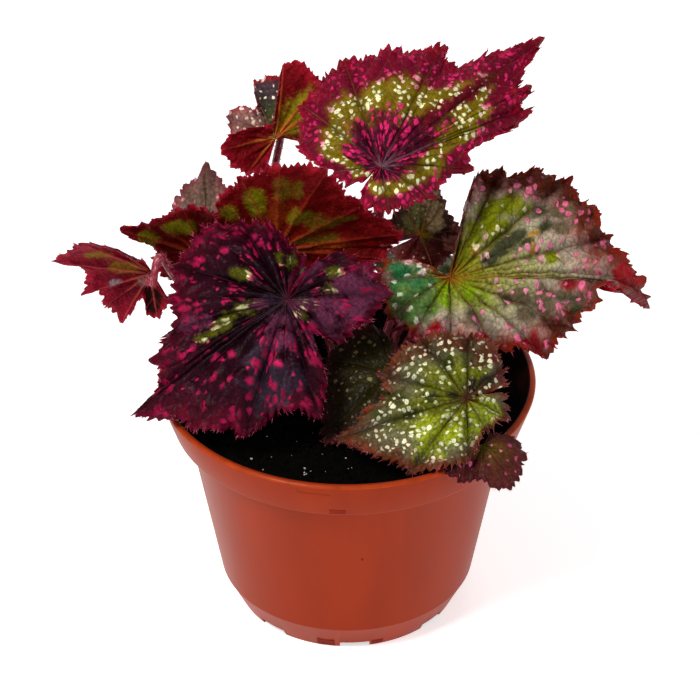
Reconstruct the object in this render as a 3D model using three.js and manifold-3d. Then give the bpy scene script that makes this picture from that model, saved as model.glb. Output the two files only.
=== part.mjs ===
// Potted rex begonia: a creeping stem in a 150 mm nursery pot of peat, with fourteen
// hairy leaves on their stalks. Millimetres, +Z up, X to the right, -Y to the front.
// The origin is the centre of the pot's underside.

import * as THREE from 'three';
import { mergeVertices } from 'three/addons/utils/BufferGeometryUtils.js';
import Module from 'manifold-3d';

const wasm = await Module();
wasm.setup();

// Driving dimensions

const GAP = 0.3;
const BLADE = 0.7;

// A stalk meets its blade a little ahead of the junction, after a short straight end

const STALK = { sides: 7, steps: 9, ahead: 1.5, straightEnd: 4, slack: 0.2 };

const POT = {
  height: 102,
  rimRadius: 75,
  lip: 3,
  rounding: 0.9,
  bandHeight: 17.5,
  bandFoot: 69.8,
  wallTop: 64.2,
  stepRadius: 51,
  stepHeight: 13,
  stepOut: 0.5,
  baseRadius: 44.8,
  wall: 1.6,
  floor: 2,
  sides: 48,
};

const DRAIN = { count: 8, firstAngle: -86, width: 10, height: 3.6, depth: 9 };

const SOIL = { level: 91, edgeDrop: 1.2, lump: 0.9, rings: [56, 43, 30, 17, 7], sides: 32 };

// Wave numbers of the peat's lumps, in radians a millimetre

const LUMPS = { x: 0.31, y: 0.27, shift: 1.3, slantX: 0.13, slantY: 0.19, slantShare: 0.6 };

const CROWN = {
  height: 90,
  stretch: [1.15, 1, 0.9],
  sides: 11,
  bands: 7,
  knots: [
    { x: -17, y: 8, radius: 7 },
    { x: -6, y: 5, radius: 9 },
    { x: 6, y: 6, radius: 9.5 },
    { x: 17, y: 3, radius: 7 },
  ],
};

// Colours and roughnesses, with each blade's colour in its own row below

const FINISH = {
  pot: { color: 0xb84a2e, roughness: 0.45 },
  soil: { color: 0x17110e, roughness: 0.95 },
  crown: { color: 0x6b4a35, roughness: 0.8 },
  stalk: { color: 0xa5484e, roughness: 0.6 },
  bladeRoughness: 0.55,
};

// How far out along each ray the rings of a blade lie

const LARGE_RINGS = [0.3, 0.6, 0.85, 1];
const SMALL_RINGS = [0.35, 0.7, 1];

// How a blade leaves its plane along a ray: the power that its lift grows by, and the
// depth past which a hanging end bends down later, one more in the power for each step

const LIFT = { power: 1.6, hanging: 15, step: 5 };

// Leaves. The junction is where the stalk meets the blade. Heading and slope say which
// way the tip vein runs and how steeply, and roll turns the blade about it. Each vein is
// its angle from the tip vein, its length, and how far its end lies off the flat blade.

const LEAVES = {
  leaf_top: {
    colour: 0x7a1f45,
    junction: [13, 8, 193],
    heading: 39, slope: 19, roll: 26,
    columns: 4, rings: LARGE_RINGS, tooth: 2, notch: 0.05, pillow: 1.3, ruffle: 1, arch: 1,
    veins: [
      [-160, 15, -4], [-120, 15, -7], [-66, 22, -9], [-46, 26, -8], [-36, 37, -8], [-26, 38, -6],
      [-21, 54, -6], [-17, 67, -4], [-14, 62, -3], [-11, 71, -2], [-8, 68, -1], [0, 88, 0],
      [9, 66, -1], [18, 55, 0], [23, 62, 0], [44, 53, 1], [64, 50, 0], [74, 48, -3],
      [93, 44, -6], [119, 34, -8], [141, 20, -3], [173, 13, -1],
    ],
    stalk: { radius: 2.1, path: [[4, 13, 94], [7, 32, 120], [12, 39, 148], [14, 27, 174]] },
  },
  leaf_right_large: {
    colour: 0x6f7a5a,
    junction: [40, 14, 138],
    heading: 5, slope: -7, roll: 34,
    columns: 4, rings: LARGE_RINGS, tooth: 2.4, notch: 0.05, pillow: 1.6, ruffle: 1.2, arch: 1.5,
    veins: [
      [-207, 12, 1], [-200, 26, -1], [-180, 29, -3], [-147, 29, -6], [-121, 28, -8], [-86, 26, -8],
      [-51, 35, -8], [-32, 50, -10], [-15, 56, -10], [-3, 64, -10], [3, 67, -2], [5, 92, -32],
      [8, 85, -15], [13, 77, -6], [19, 72, 0], [30, 71, 2], [43, 69, 4], [54, 61, 4],
      [66, 53, 6], [76, 47, 6], [80, 15, 2],
    ],
    stalk: { radius: 2.2, path: [[14, 5, 93], [26, 11, 112], [36, 14, 128]] },
  },
  leaf_front_speckled: {
    colour: 0x7c8a3a,
    junction: [46, -40, 118],
    heading: -170, slope: -10, roll: -27,
    columns: 4, rings: LARGE_RINGS, tooth: 1.8, notch: 0.06, pillow: 1.2, ruffle: 0.8, arch: 1,
    veins: [
      [-174, 17, 0], [-151, 21, -1], [-129, 27, 0], [-107, 29, 2], [-88, 30, 3], [-71, 33, 3],
      [-54, 35, 2], [-35, 37, 0], [-19, 33, -1], [-10, 41, -3], [0, 54, -6], [14, 45, -3],
      [39, 38, -2], [57, 33, 1], [78, 27, 2], [105, 17, 1], [145, 18, -4], [180, 16, -2],
    ],
    stalk: { radius: 1.7, path: [[18, 3, 93], [32, -12, 97], [42, -30, 107]] },
  },
  leaf_front_small: {
    colour: 0x5c2430,
    junction: [52, -53, 106],
    heading: -97, slope: -25, roll: -18,
    columns: 4, rings: SMALL_RINGS, tooth: 1.3, notch: 0.04, pillow: 0.6, ruffle: 0.4, arch: 0.4,
    veins: [
      [-68, 8, 0], [-56, 18, -2], [-44, 20, -2], [-20, 18, -4], [0, 15, -1], [27, 18, -4],
      [54, 20, -4], [90, 19, -3], [119, 15, -1], [159, 7, 0],
    ],
    stalk: { radius: 1.3, path: [[12, -1, 93], [27, -25, 96], [44, -43, 104]] },
  },
  leaf_left_purple: {
    colour: 0x4a1030,
    junction: [-23, -15, 147],
    heading: -159, slope: -26, roll: -31,
    columns: 4, rings: LARGE_RINGS, tooth: 2.4, notch: 0.05, pillow: 1.6, ruffle: 1.2, arch: 1.5,
    veins: [
      [-144, 20, -2], [-128, 24, -3], [-110, 35, -4], [-93, 42, -5], [-77, 50, -6], [-55, 52, -6],
      [-38, 50, -6], [-21, 52, -5], [-11, 59, -4], [0, 76, -8], [21, 62, -8], [39, 55, -10],
      [57, 44, -6], [72, 47, -10], [85, 33, -8], [94, 18, -5], [113, 26, -9], [136, 33, -10],
      [154, 40, -9], [172, 36, -6], [192, 31, -4], [210, 19, -2],
    ],
    stalk: { radius: 2.2, path: [[-9, 0, 94], [-15, -7, 115], [-21, -13, 135]] },
  },
  leaf_back_red: {
    colour: 0x8c1220,
    junction: [-28, 30, 141],
    heading: -4, slope: 11, roll: -78,
    columns: 5, rings: LARGE_RINGS, tooth: 1.8, notch: 0.04, pillow: 1, ruffle: 0.8, arch: 1,
    veins: [
      [-202, 18, 0], [-148, 26, 0], [-116, 38, -2], [-95, 47, -4], [-76, 52, -4], [-55, 53, -3],
      [-26, 45, 0], [1, 52, 3], [17, 38, 2], [48, 26, 0],
    ],
    stalk: { radius: 2, path: [[-12, 7, 95], [-20, 19, 112], [-26, 28, 128]] },
  },
  leaf_left_red: {
    colour: 0x7d1420,
    junction: [-56, 33, 136],
    heading: -149, slope: 35, roll: 75,
    columns: 5, rings: SMALL_RINGS, tooth: 1.4, notch: 0.04, pillow: 0.8, ruffle: 0.6, arch: 0.8,
    veins: [
      [-75, 9, 0], [-8, 24, 0], [0, 48, -2], [14, 39, -2], [33, 38, -3], [54, 29, -3],
      [82, 14, -1], [150, 8, 0],
    ],
    stalk: { radius: 1.6, path: [[-21, 9.5, 93], [-37, 21, 107], [-52, 31, 124]] },
  },
  leaf_far_left: {
    colour: 0x9a2236,
    junction: [-76, 6, 146],
    heading: -155, slope: 13, roll: 76,
    columns: 3, rings: SMALL_RINGS, tooth: 1.4, notch: 0.05, pillow: 0.8, ruffle: 0.5, arch: 0.6,
    veins: [
      [-132, 10, -8], [-105, 19, -8], [-93, 18, -5], [-80, 12, -2], [-76, 26, 0], [-51, 24, 2],
      [-28, 23, 2], [-25, 29, 3], [4, 30, 3], [7, 43, 4], [28, 43, -2], [39, 31, -5], [54, 12, -3],
    ],
    stalk: { radius: 1.5, path: [[-22, 5, 92], [-45, 9, 110], [-66, 12, 138], [-73, 7, 153]] },
  },
  leaf_back_left: {
    colour: 0x9b7a74,
    junction: [-56, 41, 146],
    heading: 92, slope: 42, roll: -19,
    columns: 4, rings: SMALL_RINGS, tooth: 1.2, notch: 0.04, pillow: 0.7, ruffle: 0.6, arch: 0.6,
    veins: [
      [-142, 10, -2], [-91, 13, -4], [-47, 17, -4], [-15, 21, -3], [0, 27, 0], [7, 22, 1],
      [28, 21, 0], [69, 18, 0], [108, 14, 0],
    ],
    stalk: { radius: 1.5, path: [[-17, 13.5, 94], [-36, 35, 113], [-51, 43, 134]] },
  },
  leaf_top_left_curled: {
    colour: 0x7f1622,
    junction: [-28, 44, 185],
    heading: 112, slope: 33, roll: -40,
    columns: 3, rings: SMALL_RINGS, tooth: 1, notch: 0.05, pillow: 0.7, ruffle: 0.6, arch: 0.5,
    veins: [
      [-51, 13, 0], [-34, 25, 2], [-15, 25, 4], [1, 24, 4], [5, 16, 3], [12, 14, 3],
      [24, 21, 2], [44, 24, 2], [61, 21, 0],
    ],
    otherFan: {
      heading: 59, slope: 77, roll: -155,
      veins: [
        [-171, 15, -1], [-148, 19, -3], [-130, 21, -4], [-108, 22, -4], [-92, 19, -4],
        [-72, 12, -3], [-45, 7, -2], [-12, 8, -2], [-3, 20, -2], [0, 32, -2], [13, 35, -3],
        [29, 31, -3], [45, 20, -1], [91, 11, 0],
      ],
    },
    stalk: { radius: 1.5, path: [[-11, 14, 93], [-22, 35, 122], [-29, 44, 160]] },
  },
  leaf_back_right: {
    colour: 0x6a5138,
    junction: [29, 34, 146],
    heading: 67, slope: 37, roll: 21,
    columns: 3, rings: SMALL_RINGS, tooth: 1, notch: 0.05, pillow: 0.7, ruffle: 0.6, arch: -0.6,
    veins: [
      [-226, 10, -1], [-188, 12, -3], [-137, 14, -4], [-101, 15, -4], [-80, 18, -5], [-59, 19, -3],
      [-39, 16, 0], [-17, 18, 1], [0, 23, 1], [7, 20, 0], [18, 16, 0], [52, 13, 0],
      [87, 11, -1], [126, 10, -2],
    ],
    stalk: { radius: 1.5, path: [[10, 12, 95], [19, 26, 115], [27, 33, 134]] },
  },
  leaf_low_shaded: {
    colour: 0x3d4a26,
    junction: [18, -18, 115],
    heading: -146, slope: -22, roll: -18,
    columns: 5, rings: SMALL_RINGS, tooth: 1.6, notch: 0.05, pillow: 0.8, ruffle: 0.6, arch: 0.8,
    veins: [
      [-138, 14, 0], [-111, 24, 0], [-88, 29, -2], [-61, 30, -4], [-30, 30, -5], [0, 38, -8],
      [22, 33, -5], [49, 31, -3], [73, 22, -2], [108, 15, 0],
    ],
    stalk: { radius: 1.5, path: [[7, 0, 93], [11, -8, 102], [16, -15, 110]] },
  },
  leaf_rear_left: {
    colour: 0x4a1c2a,
    junction: [-16, 52, 118],
    heading: 104, slope: -18, roll: 0,
    columns: 5, rings: SMALL_RINGS, tooth: 1.8, notch: 0.05, pillow: 1, ruffle: 0.8, arch: 1,
    veins: [
      [-160, 12, 0], [-115, 22, -2], [-70, 29, -3], [-32, 34, -4], [0, 46, -6], [34, 36, -4],
      [72, 31, -3], [118, 25, -1], [165, 14, 0],
    ],
    stalk: { radius: 1.6, path: [[-4, 13, 94], [-8, 29, 102], [-13, 44, 112]] },
  },
  leaf_rear_right: {
    colour: 0x55602f,
    junction: [32, 48, 116],
    heading: 48, slope: -14, roll: 6,
    columns: 5, rings: SMALL_RINGS, tooth: 1.8, notch: 0.05, pillow: 1, ruffle: 0.8, arch: 1,
    veins: [
      [-160, 12, 0], [-118, 22, -2], [-72, 30, -3], [-34, 34, -4], [0, 45, -5], [32, 36, -4],
      [70, 30, -3], [115, 24, -2], [160, 13, 0],
    ],
    stalk: { radius: 1.6, path: [[14, 11, 94], [20, 28, 102], [28, 43, 110]] },
  },
};

// Solids

function toSolid(geometry) {
  const bare = geometry.clone();
  bare.deleteAttribute('normal');
  bare.deleteAttribute('uv');
  const merged = mergeVertices(bare, 1e-4);
  const vertProperties = new Float32Array(merged.attributes.position.array);
  const triVerts = new Uint32Array(merged.index.array);
  return new wasm.Manifold(new wasm.Mesh({ numProp: 3, vertProperties, triVerts }));
}

function toMesh(name, finish, solid) {
  const { vertProperties, triVerts } = solid.getMesh();
  const geometry = new THREE.BufferGeometry();
  geometry.setAttribute('position', new THREE.BufferAttribute(vertProperties, 3));
  geometry.setIndex(new THREE.BufferAttribute(triVerts, 1));
  geometry.computeVertexNormals();
  const mesh = new THREE.Mesh(geometry, new THREE.MeshStandardMaterial({ ...finish, metalness: 0 }));
  mesh.name = name;
  return mesh;
}

function turned(profile, sides) {
  const points = profile.map(([radius, height]) => new THREE.Vector2(radius, height));
  return new THREE.LatheGeometry(points, sides).rotateX(Math.PI / 2);
}

// Pot

function potRadius(height, inset) {
  const rise = (height - POT.stepHeight) / (POT.height - POT.bandHeight - POT.stepHeight);
  return POT.stepRadius + POT.stepOut + rise * (POT.wallTop - POT.stepRadius - POT.stepOut) - inset;
}

function makePot() {
  const { height, rimRadius, lip, rounding, wall, floor } = POT;
  const bandFoot = height - POT.bandHeight;
  const ledge = bandFoot + wall;
  const shell = toSolid(turned([
    [0, 0],
    [POT.baseRadius, 0],
    [POT.stepRadius, POT.stepHeight],
    [potRadius(POT.stepHeight, 0), POT.stepHeight + POT.stepOut],
    [POT.wallTop, bandFoot],
    [POT.bandFoot - rounding, bandFoot],
    [POT.bandFoot, bandFoot + rounding],
    [rimRadius, height - rounding],
    [rimRadius - rounding, height],
    [rimRadius - lip + rounding / 2, height],
    [rimRadius - lip, height - rounding],
    [POT.bandFoot - wall, ledge],
    [POT.wallTop - wall, ledge],
    [potRadius(POT.stepHeight, wall), POT.stepHeight],
    [POT.baseRadius - wall / 2, floor],
    [0, floor],
  ], POT.sides));
  const notches = [];
  for (let i = 0; i < DRAIN.count; i += 1) {
    const notch = new THREE.BoxGeometry(DRAIN.depth, DRAIN.width, 2 * DRAIN.height);
    notch.translate(POT.baseRadius, 0, 0);
    notch.rotateZ(THREE.MathUtils.degToRad(DRAIN.firstAngle + (i * 360) / DRAIN.count));
    notches.push(toSolid(notch));
  }
  return notches.reduce((body, notch) => body.subtract(notch), shell);
}

// Peat, filling the pot up to a little under its rim, in lumps

function lumps(x, y) {
  const round = Math.sin(x * LUMPS.x + LUMPS.shift) * Math.cos(y * LUMPS.y);
  const slanted = LUMPS.slantShare * Math.sin(x * LUMPS.slantX - y * LUMPS.slantY);
  return SOIL.lump * (round + slanted);
}

function makeSoil(crown) {
  const ledge = POT.height - POT.bandHeight + POT.wall;
  const bandSlope = (POT.rimRadius - POT.lip - POT.bandFoot + POT.wall) / (POT.height - ledge);
  const edge = POT.bandFoot - POT.wall - 2 * GAP + (SOIL.level - ledge) * bandSlope;
  const top = SOIL.rings.map((radius) => [radius, SOIL.level]);
  const body = turned([
    [0, POT.floor + DRAIN.height],
    [POT.baseRadius - POT.wall - GAP, POT.floor + DRAIN.height],
    [potRadius(POT.stepHeight, POT.wall + 2 * GAP), POT.stepHeight + POT.stepOut],
    [POT.wallTop - POT.wall - 2 * GAP, ledge],
    [POT.wallTop - POT.wall - 2 * GAP, ledge + GAP],
    [POT.bandFoot - POT.wall - 2 * GAP, ledge + GAP],
    [edge, SOIL.level - SOIL.edgeDrop],
    ...top,
    [0, SOIL.level],
  ], SOIL.sides);
  const spots = body.attributes.position;
  for (let i = 0; i < spots.count; i += 1) {
    if (spots.getZ(i) > SOIL.level - SOIL.edgeDrop / 2) {
      spots.setZ(i, spots.getZ(i) + lumps(spots.getX(i), spots.getY(i)));
    }
  }
  return toSolid(body).subtract(crown);
}

// Creeping stem: a few swollen knots side by side, half in the peat

function makeCrown(clearance) {
  const knots = CROWN.knots.map(({ x, y, radius }) => {
    const knot = new THREE.SphereGeometry(radius + clearance, CROWN.sides, CROWN.bands);
    return toSolid(knot.scale(...CROWN.stretch).translate(x, y, CROWN.height));
  });
  return knots.reduce((stem, knot) => stem.add(knot));
}

// Leaf blades

function leafAxes({ heading, slope, roll }) {
  const h = THREE.MathUtils.degToRad(heading);
  const s = THREE.MathUtils.degToRad(slope);
  const tip = new THREE.Vector3(Math.cos(s) * Math.cos(h), Math.cos(s) * Math.sin(h), Math.sin(s));
  const up = new THREE.Vector3(-Math.sin(s) * Math.cos(h), -Math.sin(s) * Math.sin(h), Math.cos(s));
  up.applyAxisAngle(tip, THREE.MathUtils.degToRad(roll));
  const side = new THREE.Vector3().crossVectors(up, tip);
  return { tip, side, up };
}

function bladePoint(leaf, curve, axes, u, s, tooth) {
  const gaps = leaf.veins.length - 1;
  const end = curve.getPoint(u / gaps);
  const between = Math.sin(Math.PI * (u - Math.floor(u)));
  const wave = Math.floor(u) % 2 ? -leaf.ruffle : leaf.ruffle;
  const reach = s * (1 - leaf.notch * between * s * s) - tooth / end.length();
  const power = LIFT.power + Math.max(0, -end.z - LIFT.hanging) / LIFT.step;
  const lift = end.z * s ** power
    + leaf.arch * Math.sin(Math.PI * s)
    + leaf.pillow * between * Math.sin(Math.PI * s ** 0.8)
    + wave * between * s ** 3;
  return new THREE.Vector3(...leaf.junction)
    .addScaledVector(axes.tip, end.x * reach)
    .addScaledVector(axes.side, end.y * reach)
    .addScaledVector(axes.up, lift);
}

// A fan of rays from the junction to the margin, thickened both ways along its normals,
// with both faces split alike and a wall round the edge

function bladeSolid(leaf, below, above) {
  const axes = leafAxes(leaf);
  const ends = leaf.veins.map(([angle, length, lift]) => {
    const a = THREE.MathUtils.degToRad(angle);
    return new THREE.Vector3(length * Math.cos(a), length * Math.sin(a), lift);
  });
  const curve = new THREE.CatmullRomCurve3(ends, false, 'catmullrom', 0.5);
  const columns = leaf.columns * (leaf.veins.length - 1);
  const points = [new THREE.Vector3(...leaf.junction)];
  for (const s of leaf.rings) {
    for (let j = 0; j <= columns; j += 1) {
      const tooth = s === 1 && j % 2 ? leaf.tooth : 0;
      points.push(bladePoint(leaf, curve, axes, j / leaf.columns, s, tooth));
    }
  }
  const at = (ring, column) => 1 + ring * (columns + 1) + column;
  const faces = [];
  for (let j = 0; j < columns; j += 1) {
    faces.push([0, at(0, j), at(0, j + 1)]);
    for (let ring = 1; ring < leaf.rings.length; ring += 1) {
      faces.push([at(ring - 1, j), at(ring, j), at(ring, j + 1)]);
      faces.push([at(ring - 1, j), at(ring, j + 1), at(ring - 1, j + 1)]);
    }
  }
  const normals = points.map(() => new THREE.Vector3());
  for (const [a, b, c] of faces) {
    const ab = points[b].clone().sub(points[a]);
    const normal = ab.cross(points[c].clone().sub(points[a]));
    for (const corner of [a, b, c]) normals[corner].add(normal);
  }
  const count = points.length;
  const positions = [];
  for (const offset of [above, -below]) {
    points.forEach((point, i) => {
      positions.push(...point.clone().addScaledVector(normals[i].clone().normalize(), offset));
    });
  }
  const index = [];
  for (const [a, b, c] of faces) index.push(a, b, c, count + a, count + c, count + b);
  const outer = leaf.rings.length - 1;
  const edge = [0];
  for (let ring = 0; ring < outer; ring += 1) edge.push(at(ring, 0));
  for (let j = 0; j <= columns; j += 1) edge.push(at(outer, j));
  for (let ring = outer - 1; ring >= 0; ring -= 1) edge.push(at(ring, columns));
  edge.forEach((a, i) => {
    const b = edge[(i + 1) % edge.length];
    index.push(a, count + a, b, b, count + a, count + b);
  });
  const geometry = new THREE.BufferGeometry();
  geometry.setAttribute('position', new THREE.Float32BufferAttribute(positions, 3));
  geometry.setIndex(index);
  return toSolid(geometry);
}

function makeBlade(leaf, below, above) {
  const blade = bladeSolid(leaf, below, above);
  if (!leaf.otherFan) return blade;
  return blade.add(bladeSolid({ ...leaf, ...leaf.otherFan }, below, above));
}

// Stalks, from the creeping stem up to the underside of the blade, cut clear of both

function makeStalk(leaf, crown) {
  const { tip, up } = leafAxes(leaf);
  const under = new THREE.Vector3(...leaf.junction).addScaledVector(tip, STALK.ahead);
  const end = under.addScaledVector(up, -BLADE / 2 - GAP - STALK.slack);
  const path = leaf.stalk.path.map((point) => new THREE.Vector3(...point));
  path.push(end.clone().addScaledVector(up, -STALK.straightEnd), end);
  const section = new THREE.Shape();
  for (let i = 0; i < STALK.sides; i += 1) {
    const a = (i * 2 * Math.PI) / STALK.sides;
    const x = leaf.stalk.radius * Math.cos(a);
    const y = leaf.stalk.radius * Math.sin(a);
    if (i === 0) section.moveTo(x, y);
    else section.lineTo(x, y);
  }
  section.closePath();
  const tube = new THREE.ExtrudeGeometry(section, {
    steps: STALK.steps,
    bevelEnabled: false,
    extrudePath: new THREE.CatmullRomCurve3(path),
  });
  const blade = makeBlade(leaf, BLADE / 2 + GAP, STALK.straightEnd);
  const pieces = toSolid(tube).subtract(crown).subtract(blade).decompose();
  return pieces.reduce((most, piece) => (piece.volume() > most.volume() ? piece : most));
}

// The whole plant

const plant = new THREE.Group();
const crownGap = makeCrown(GAP);
plant.add(toMesh('pot', FINISH.pot, makePot()));
plant.add(toMesh('soil', FINISH.soil, makeSoil(crownGap)));
plant.add(toMesh('crown', FINISH.crown, makeCrown(0)));
for (const [name, leaf] of Object.entries(LEAVES)) {
  const finish = { color: leaf.colour, roughness: FINISH.bladeRoughness };
  plant.add(toMesh(name, finish, makeBlade(leaf, BLADE / 2, BLADE / 2)));
  plant.add(toMesh(name.replace('leaf', 'stalk'), FINISH.stalk, makeStalk(leaf, crownGap)));
}

export default plant;
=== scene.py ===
# %% [markdown]
# # A potted rex begonia
# A rex begonia is grown for its leaves: fourteen of them here, each a lopsided, toothed
# blade on a hairy stalk, standing in a plastic nursery pot of black peat. The solids of
# the plant come from the frame, in metres, with the pot's underside at the origin. This
# script dresses them. Each part is modelled again in finer faces on the same sizes, and
# gets the colours, veins, spots and hairs of the real plant.

# %% Load the frame
import math

import bpy
import numpy as np
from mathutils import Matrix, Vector


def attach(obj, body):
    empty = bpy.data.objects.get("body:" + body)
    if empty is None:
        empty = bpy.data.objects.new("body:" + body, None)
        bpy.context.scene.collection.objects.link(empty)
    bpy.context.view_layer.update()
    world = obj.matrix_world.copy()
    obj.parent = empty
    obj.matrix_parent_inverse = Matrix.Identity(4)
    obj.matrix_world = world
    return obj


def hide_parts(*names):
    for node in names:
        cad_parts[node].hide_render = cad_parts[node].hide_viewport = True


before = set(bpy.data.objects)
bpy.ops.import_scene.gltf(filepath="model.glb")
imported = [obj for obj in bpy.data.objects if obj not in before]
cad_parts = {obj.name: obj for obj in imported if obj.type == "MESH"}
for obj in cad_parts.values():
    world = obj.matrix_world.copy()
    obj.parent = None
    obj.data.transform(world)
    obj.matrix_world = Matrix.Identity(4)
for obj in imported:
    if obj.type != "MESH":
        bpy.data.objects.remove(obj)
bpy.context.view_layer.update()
MM = 0.001

# %% [markdown]
# ## Camera
# The plant was photographed from about 1.3 m with a long lens, looking down 34 degrees,
# so the rim shows as an ellipse and the leaves from above. A camera could be turned by
# eye. Here its place is worked out from the point that it looks at, so that distance and
# tilt stay two plain numbers.

# %% Camera
TARGET = Vector((1.2, 0, 114)) * MM
DISTANCE = 1270 * MM
LOOK_DOWN = math.radians(34.2)
LENS = 165.5
SENSOR = 36

camera_data = bpy.data.cameras.new("camera")
camera_data.lens = LENS
camera_data.sensor_width = SENSOR
camera = bpy.data.objects.new("camera", camera_data)
bpy.context.scene.collection.objects.link(camera)
camera.location = TARGET + DISTANCE * Vector((0, -math.cos(LOOK_DOWN), math.sin(LOOK_DOWN)))
camera.rotation_euler = (math.pi / 2 - LOOK_DOWN, 0, 0)
bpy.context.scene.camera = camera
print("camera at", [round(c / MM) for c in camera.location], "mm")

# %% [markdown]
# ## Colours and nodes
# Every finish below is a graph of nodes. Colours are written as on a screen, in sRGB
# hex, and one function turns them into the linear values that light adds up in. A second
# one adds a node and links it, so that a layer of the finish takes one line.

# %% Colours, nodes and materials
def linear(hexcode):
    """sRGB hex, such as "b84a2e", to linear RGBA."""
    parts = [int(hexcode[i:i + 2], 16) / 255 for i in (0, 2, 4)]
    return tuple(c / 12.92 if c <= 0.04045 else ((c + 0.055) / 1.055) ** 2.4 for c in parts) + (1,)


def add(tree, kind, links=None, stops=None, **settings):
    """Adds one node with its settings, links or values, and colour stops; gives its outputs."""
    node = tree.nodes.new(kind)
    for name, value in settings.items():
        setattr(node, name, value)
    for key, value in (links or {}).items():
        if isinstance(value, bpy.types.NodeSocket):
            tree.links.new(value, node.inputs[key])
        else:
            node.inputs[key].default_value = value
    if stops:
        ramp = node.color_ramp
        ramp.elements.remove(ramp.elements[1])
        ramp.elements[0].position, ramp.elements[0].color = stops[0][0], linear(stops[0][1])
        for place, hexcode in stops[1:]:
            ramp.elements.new(place).color = linear(hexcode)
    return node.outputs


def new_material(name):
    """An empty material; gives it, its node tree and its surface shader."""
    material = bpy.data.materials.new(name)
    material.use_nodes = True
    return material, material.node_tree, material.node_tree.nodes["Principled BSDF"]


def dress(tree, shader, sockets):
    """Gives the surface shader its sockets, each by a link or by a value."""
    for key, value in sockets.items():
        if isinstance(value, bpy.types.NodeSocket):
            tree.links.new(value, shader.inputs[key])
        else:
            shader.inputs[key].default_value = value


print("terracotta plastic, linear:", [round(c, 3) for c in linear("902d0e")])

# %% [markdown]
# ## Light and floor
# One broad soft lamp from the upper left models the leaves, a weaker one fills from the
# right, one behind rims them, and a pale sky gives the plastic its light edges. A white
# sweep lies under the plant. The paper glows a little, so that it stays white in a
# picture that is exposed for dark leaves.

# %% Lamps and sky
LAMPS = [
    ("key", (-0.55, -0.6, 1.15), 0.34, 12, "fffaf4"),
    ("fill", (0.9, -0.6, 0.7), 0.8, 1.5, "f4f8ff"),
    ("back", (0.1, 1.0, 0.9), 0.7, 3, "ffffff"),
]
SKY_STRENGTH = 0.32

for name, place, size, watts, hexcode in LAMPS:
    data = bpy.data.lights.new(name, "AREA")
    data.size = size
    data.energy = watts
    data.color = linear(hexcode)[:3]
    light = bpy.data.objects.new(name, data)
    light.location = place
    light.rotation_euler = (TARGET - light.location).to_track_quat("-Z", "Y").to_euler()
    bpy.context.scene.collection.objects.link(light)

world = bpy.data.worlds.new("studio")
bpy.context.scene.world = world
world.use_nodes = True
sky = world.node_tree.nodes["Background"]
sky.inputs["Color"].default_value = linear("ffffff")
sky.inputs["Strength"].default_value = SKY_STRENGTH
bpy.context.scene.view_settings.view_transform = "Standard"
print("lamps:", len(LAMPS))


# %% White paper floor
def deselect():
    """Leaves edit mode and selects nothing, because an operator acts on all that is selected."""
    if bpy.context.object and bpy.context.object.mode != "OBJECT":
        bpy.ops.object.mode_set(mode="OBJECT")
    bpy.ops.object.select_all(action="DESELECT")


FLOOR_SIZE = 12
deselect()
bpy.ops.mesh.primitive_plane_add(size=FLOOR_SIZE, location=(0, 0, 0))
floor = bpy.context.object
floor.name = "floor"
paper, tree, shader = new_material("white_backdrop_paper")
dress(tree, shader, {"Base Color": linear("fbfbfb"), "Roughness": 0.9,
                     "Emission Color": linear("ffffff"), "Emission Strength": 0.6})
floor.data.materials.append(paper)
print("floor:", FLOOR_SIZE, "m wide")

# %% [markdown]
# ## Leaf blades: the outline
# Each blade is a fan of rays from the junction, where the stalk meets it, to the margin.
# The rays are those of the plant's solids: angle from the tip vein, length, and how far
# the end lies off the flat blade, in degrees and millimetres. The blade could be drawn
# as a curve and filled, but then its faces would not follow the veins. So a smooth curve
# is led through the ends of the rays, and the blade is stretched between it and the
# junction.

# %% Rays, axes and the curve along the margin
COLUMN = 0.55


def leaf_axes(leaf):
    """The blade's own tip, side and up directions."""
    h, s, r = (math.radians(leaf[k]) for k in ("heading", "slope", "roll"))
    tip = np.array((math.cos(s) * math.cos(h), math.cos(s) * math.sin(h), math.sin(s)))
    up = np.array((-math.sin(s) * math.cos(h), -math.sin(s) * math.sin(h), math.cos(s)))
    up = up * math.cos(r) + np.cross(tip, up) * math.sin(r)
    return tip, np.cross(up, tip), up


def through(knots, u):
    """Points at u along a smooth curve through the knots, one unit from knot to knot."""
    k = np.asarray(knots, float)
    k = np.vstack([2 * k[0] - k[1], k, 2 * k[-1] - k[-2]])
    i = np.clip(np.floor(u).astype(int), 0, len(knots) - 2)
    t = (u - i)[..., None]
    a, b, c, d = k[i], k[i + 1], k[i + 2], k[i + 3]
    return b + 0.5 * t * (c - a + t * (2 * a - 5 * b + 4 * c - d + t * (3 * (b - c) + d - a)))


def margin_knots(leaf):
    """The ends of the rays in the blade's own axes, in mm."""
    rays = np.array(leaf["veins"], float)
    a = np.radians(rays[:, 0])
    return np.stack([rays[:, 1] * np.cos(a), rays[:, 1] * np.sin(a), rays[:, 2]], axis=1)


def columns_of(leaf):
    """Places u along the margin, about COLUMN mm apart, in fours between each two rays."""
    knots = margin_knots(leaf)
    steps = np.linalg.norm(np.diff(knots, axis=0), axis=1)
    places = [np.linspace(k, k + 1, 4 * max(1, round(step / COLUMN / 4)), endpoint=False)
              for k, step in enumerate(steps)]
    return np.append(np.concatenate(places), len(knots) - 1)


print("columns:", COLUMN, "mm apart")


# %% Waves, lumps and teeth
LEAN = 0.3


def wave(x, seed):
    """A smooth, wandering value between about -1 and 1, from three sines."""
    a, b, c = 1.7 * seed, 2.9 * seed, 0.6 * seed
    return 0.5 * np.sin(x + a) + 0.3 * np.sin(2.3 * x + b) + 0.2 * np.sin(4.1 * x + c)


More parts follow.
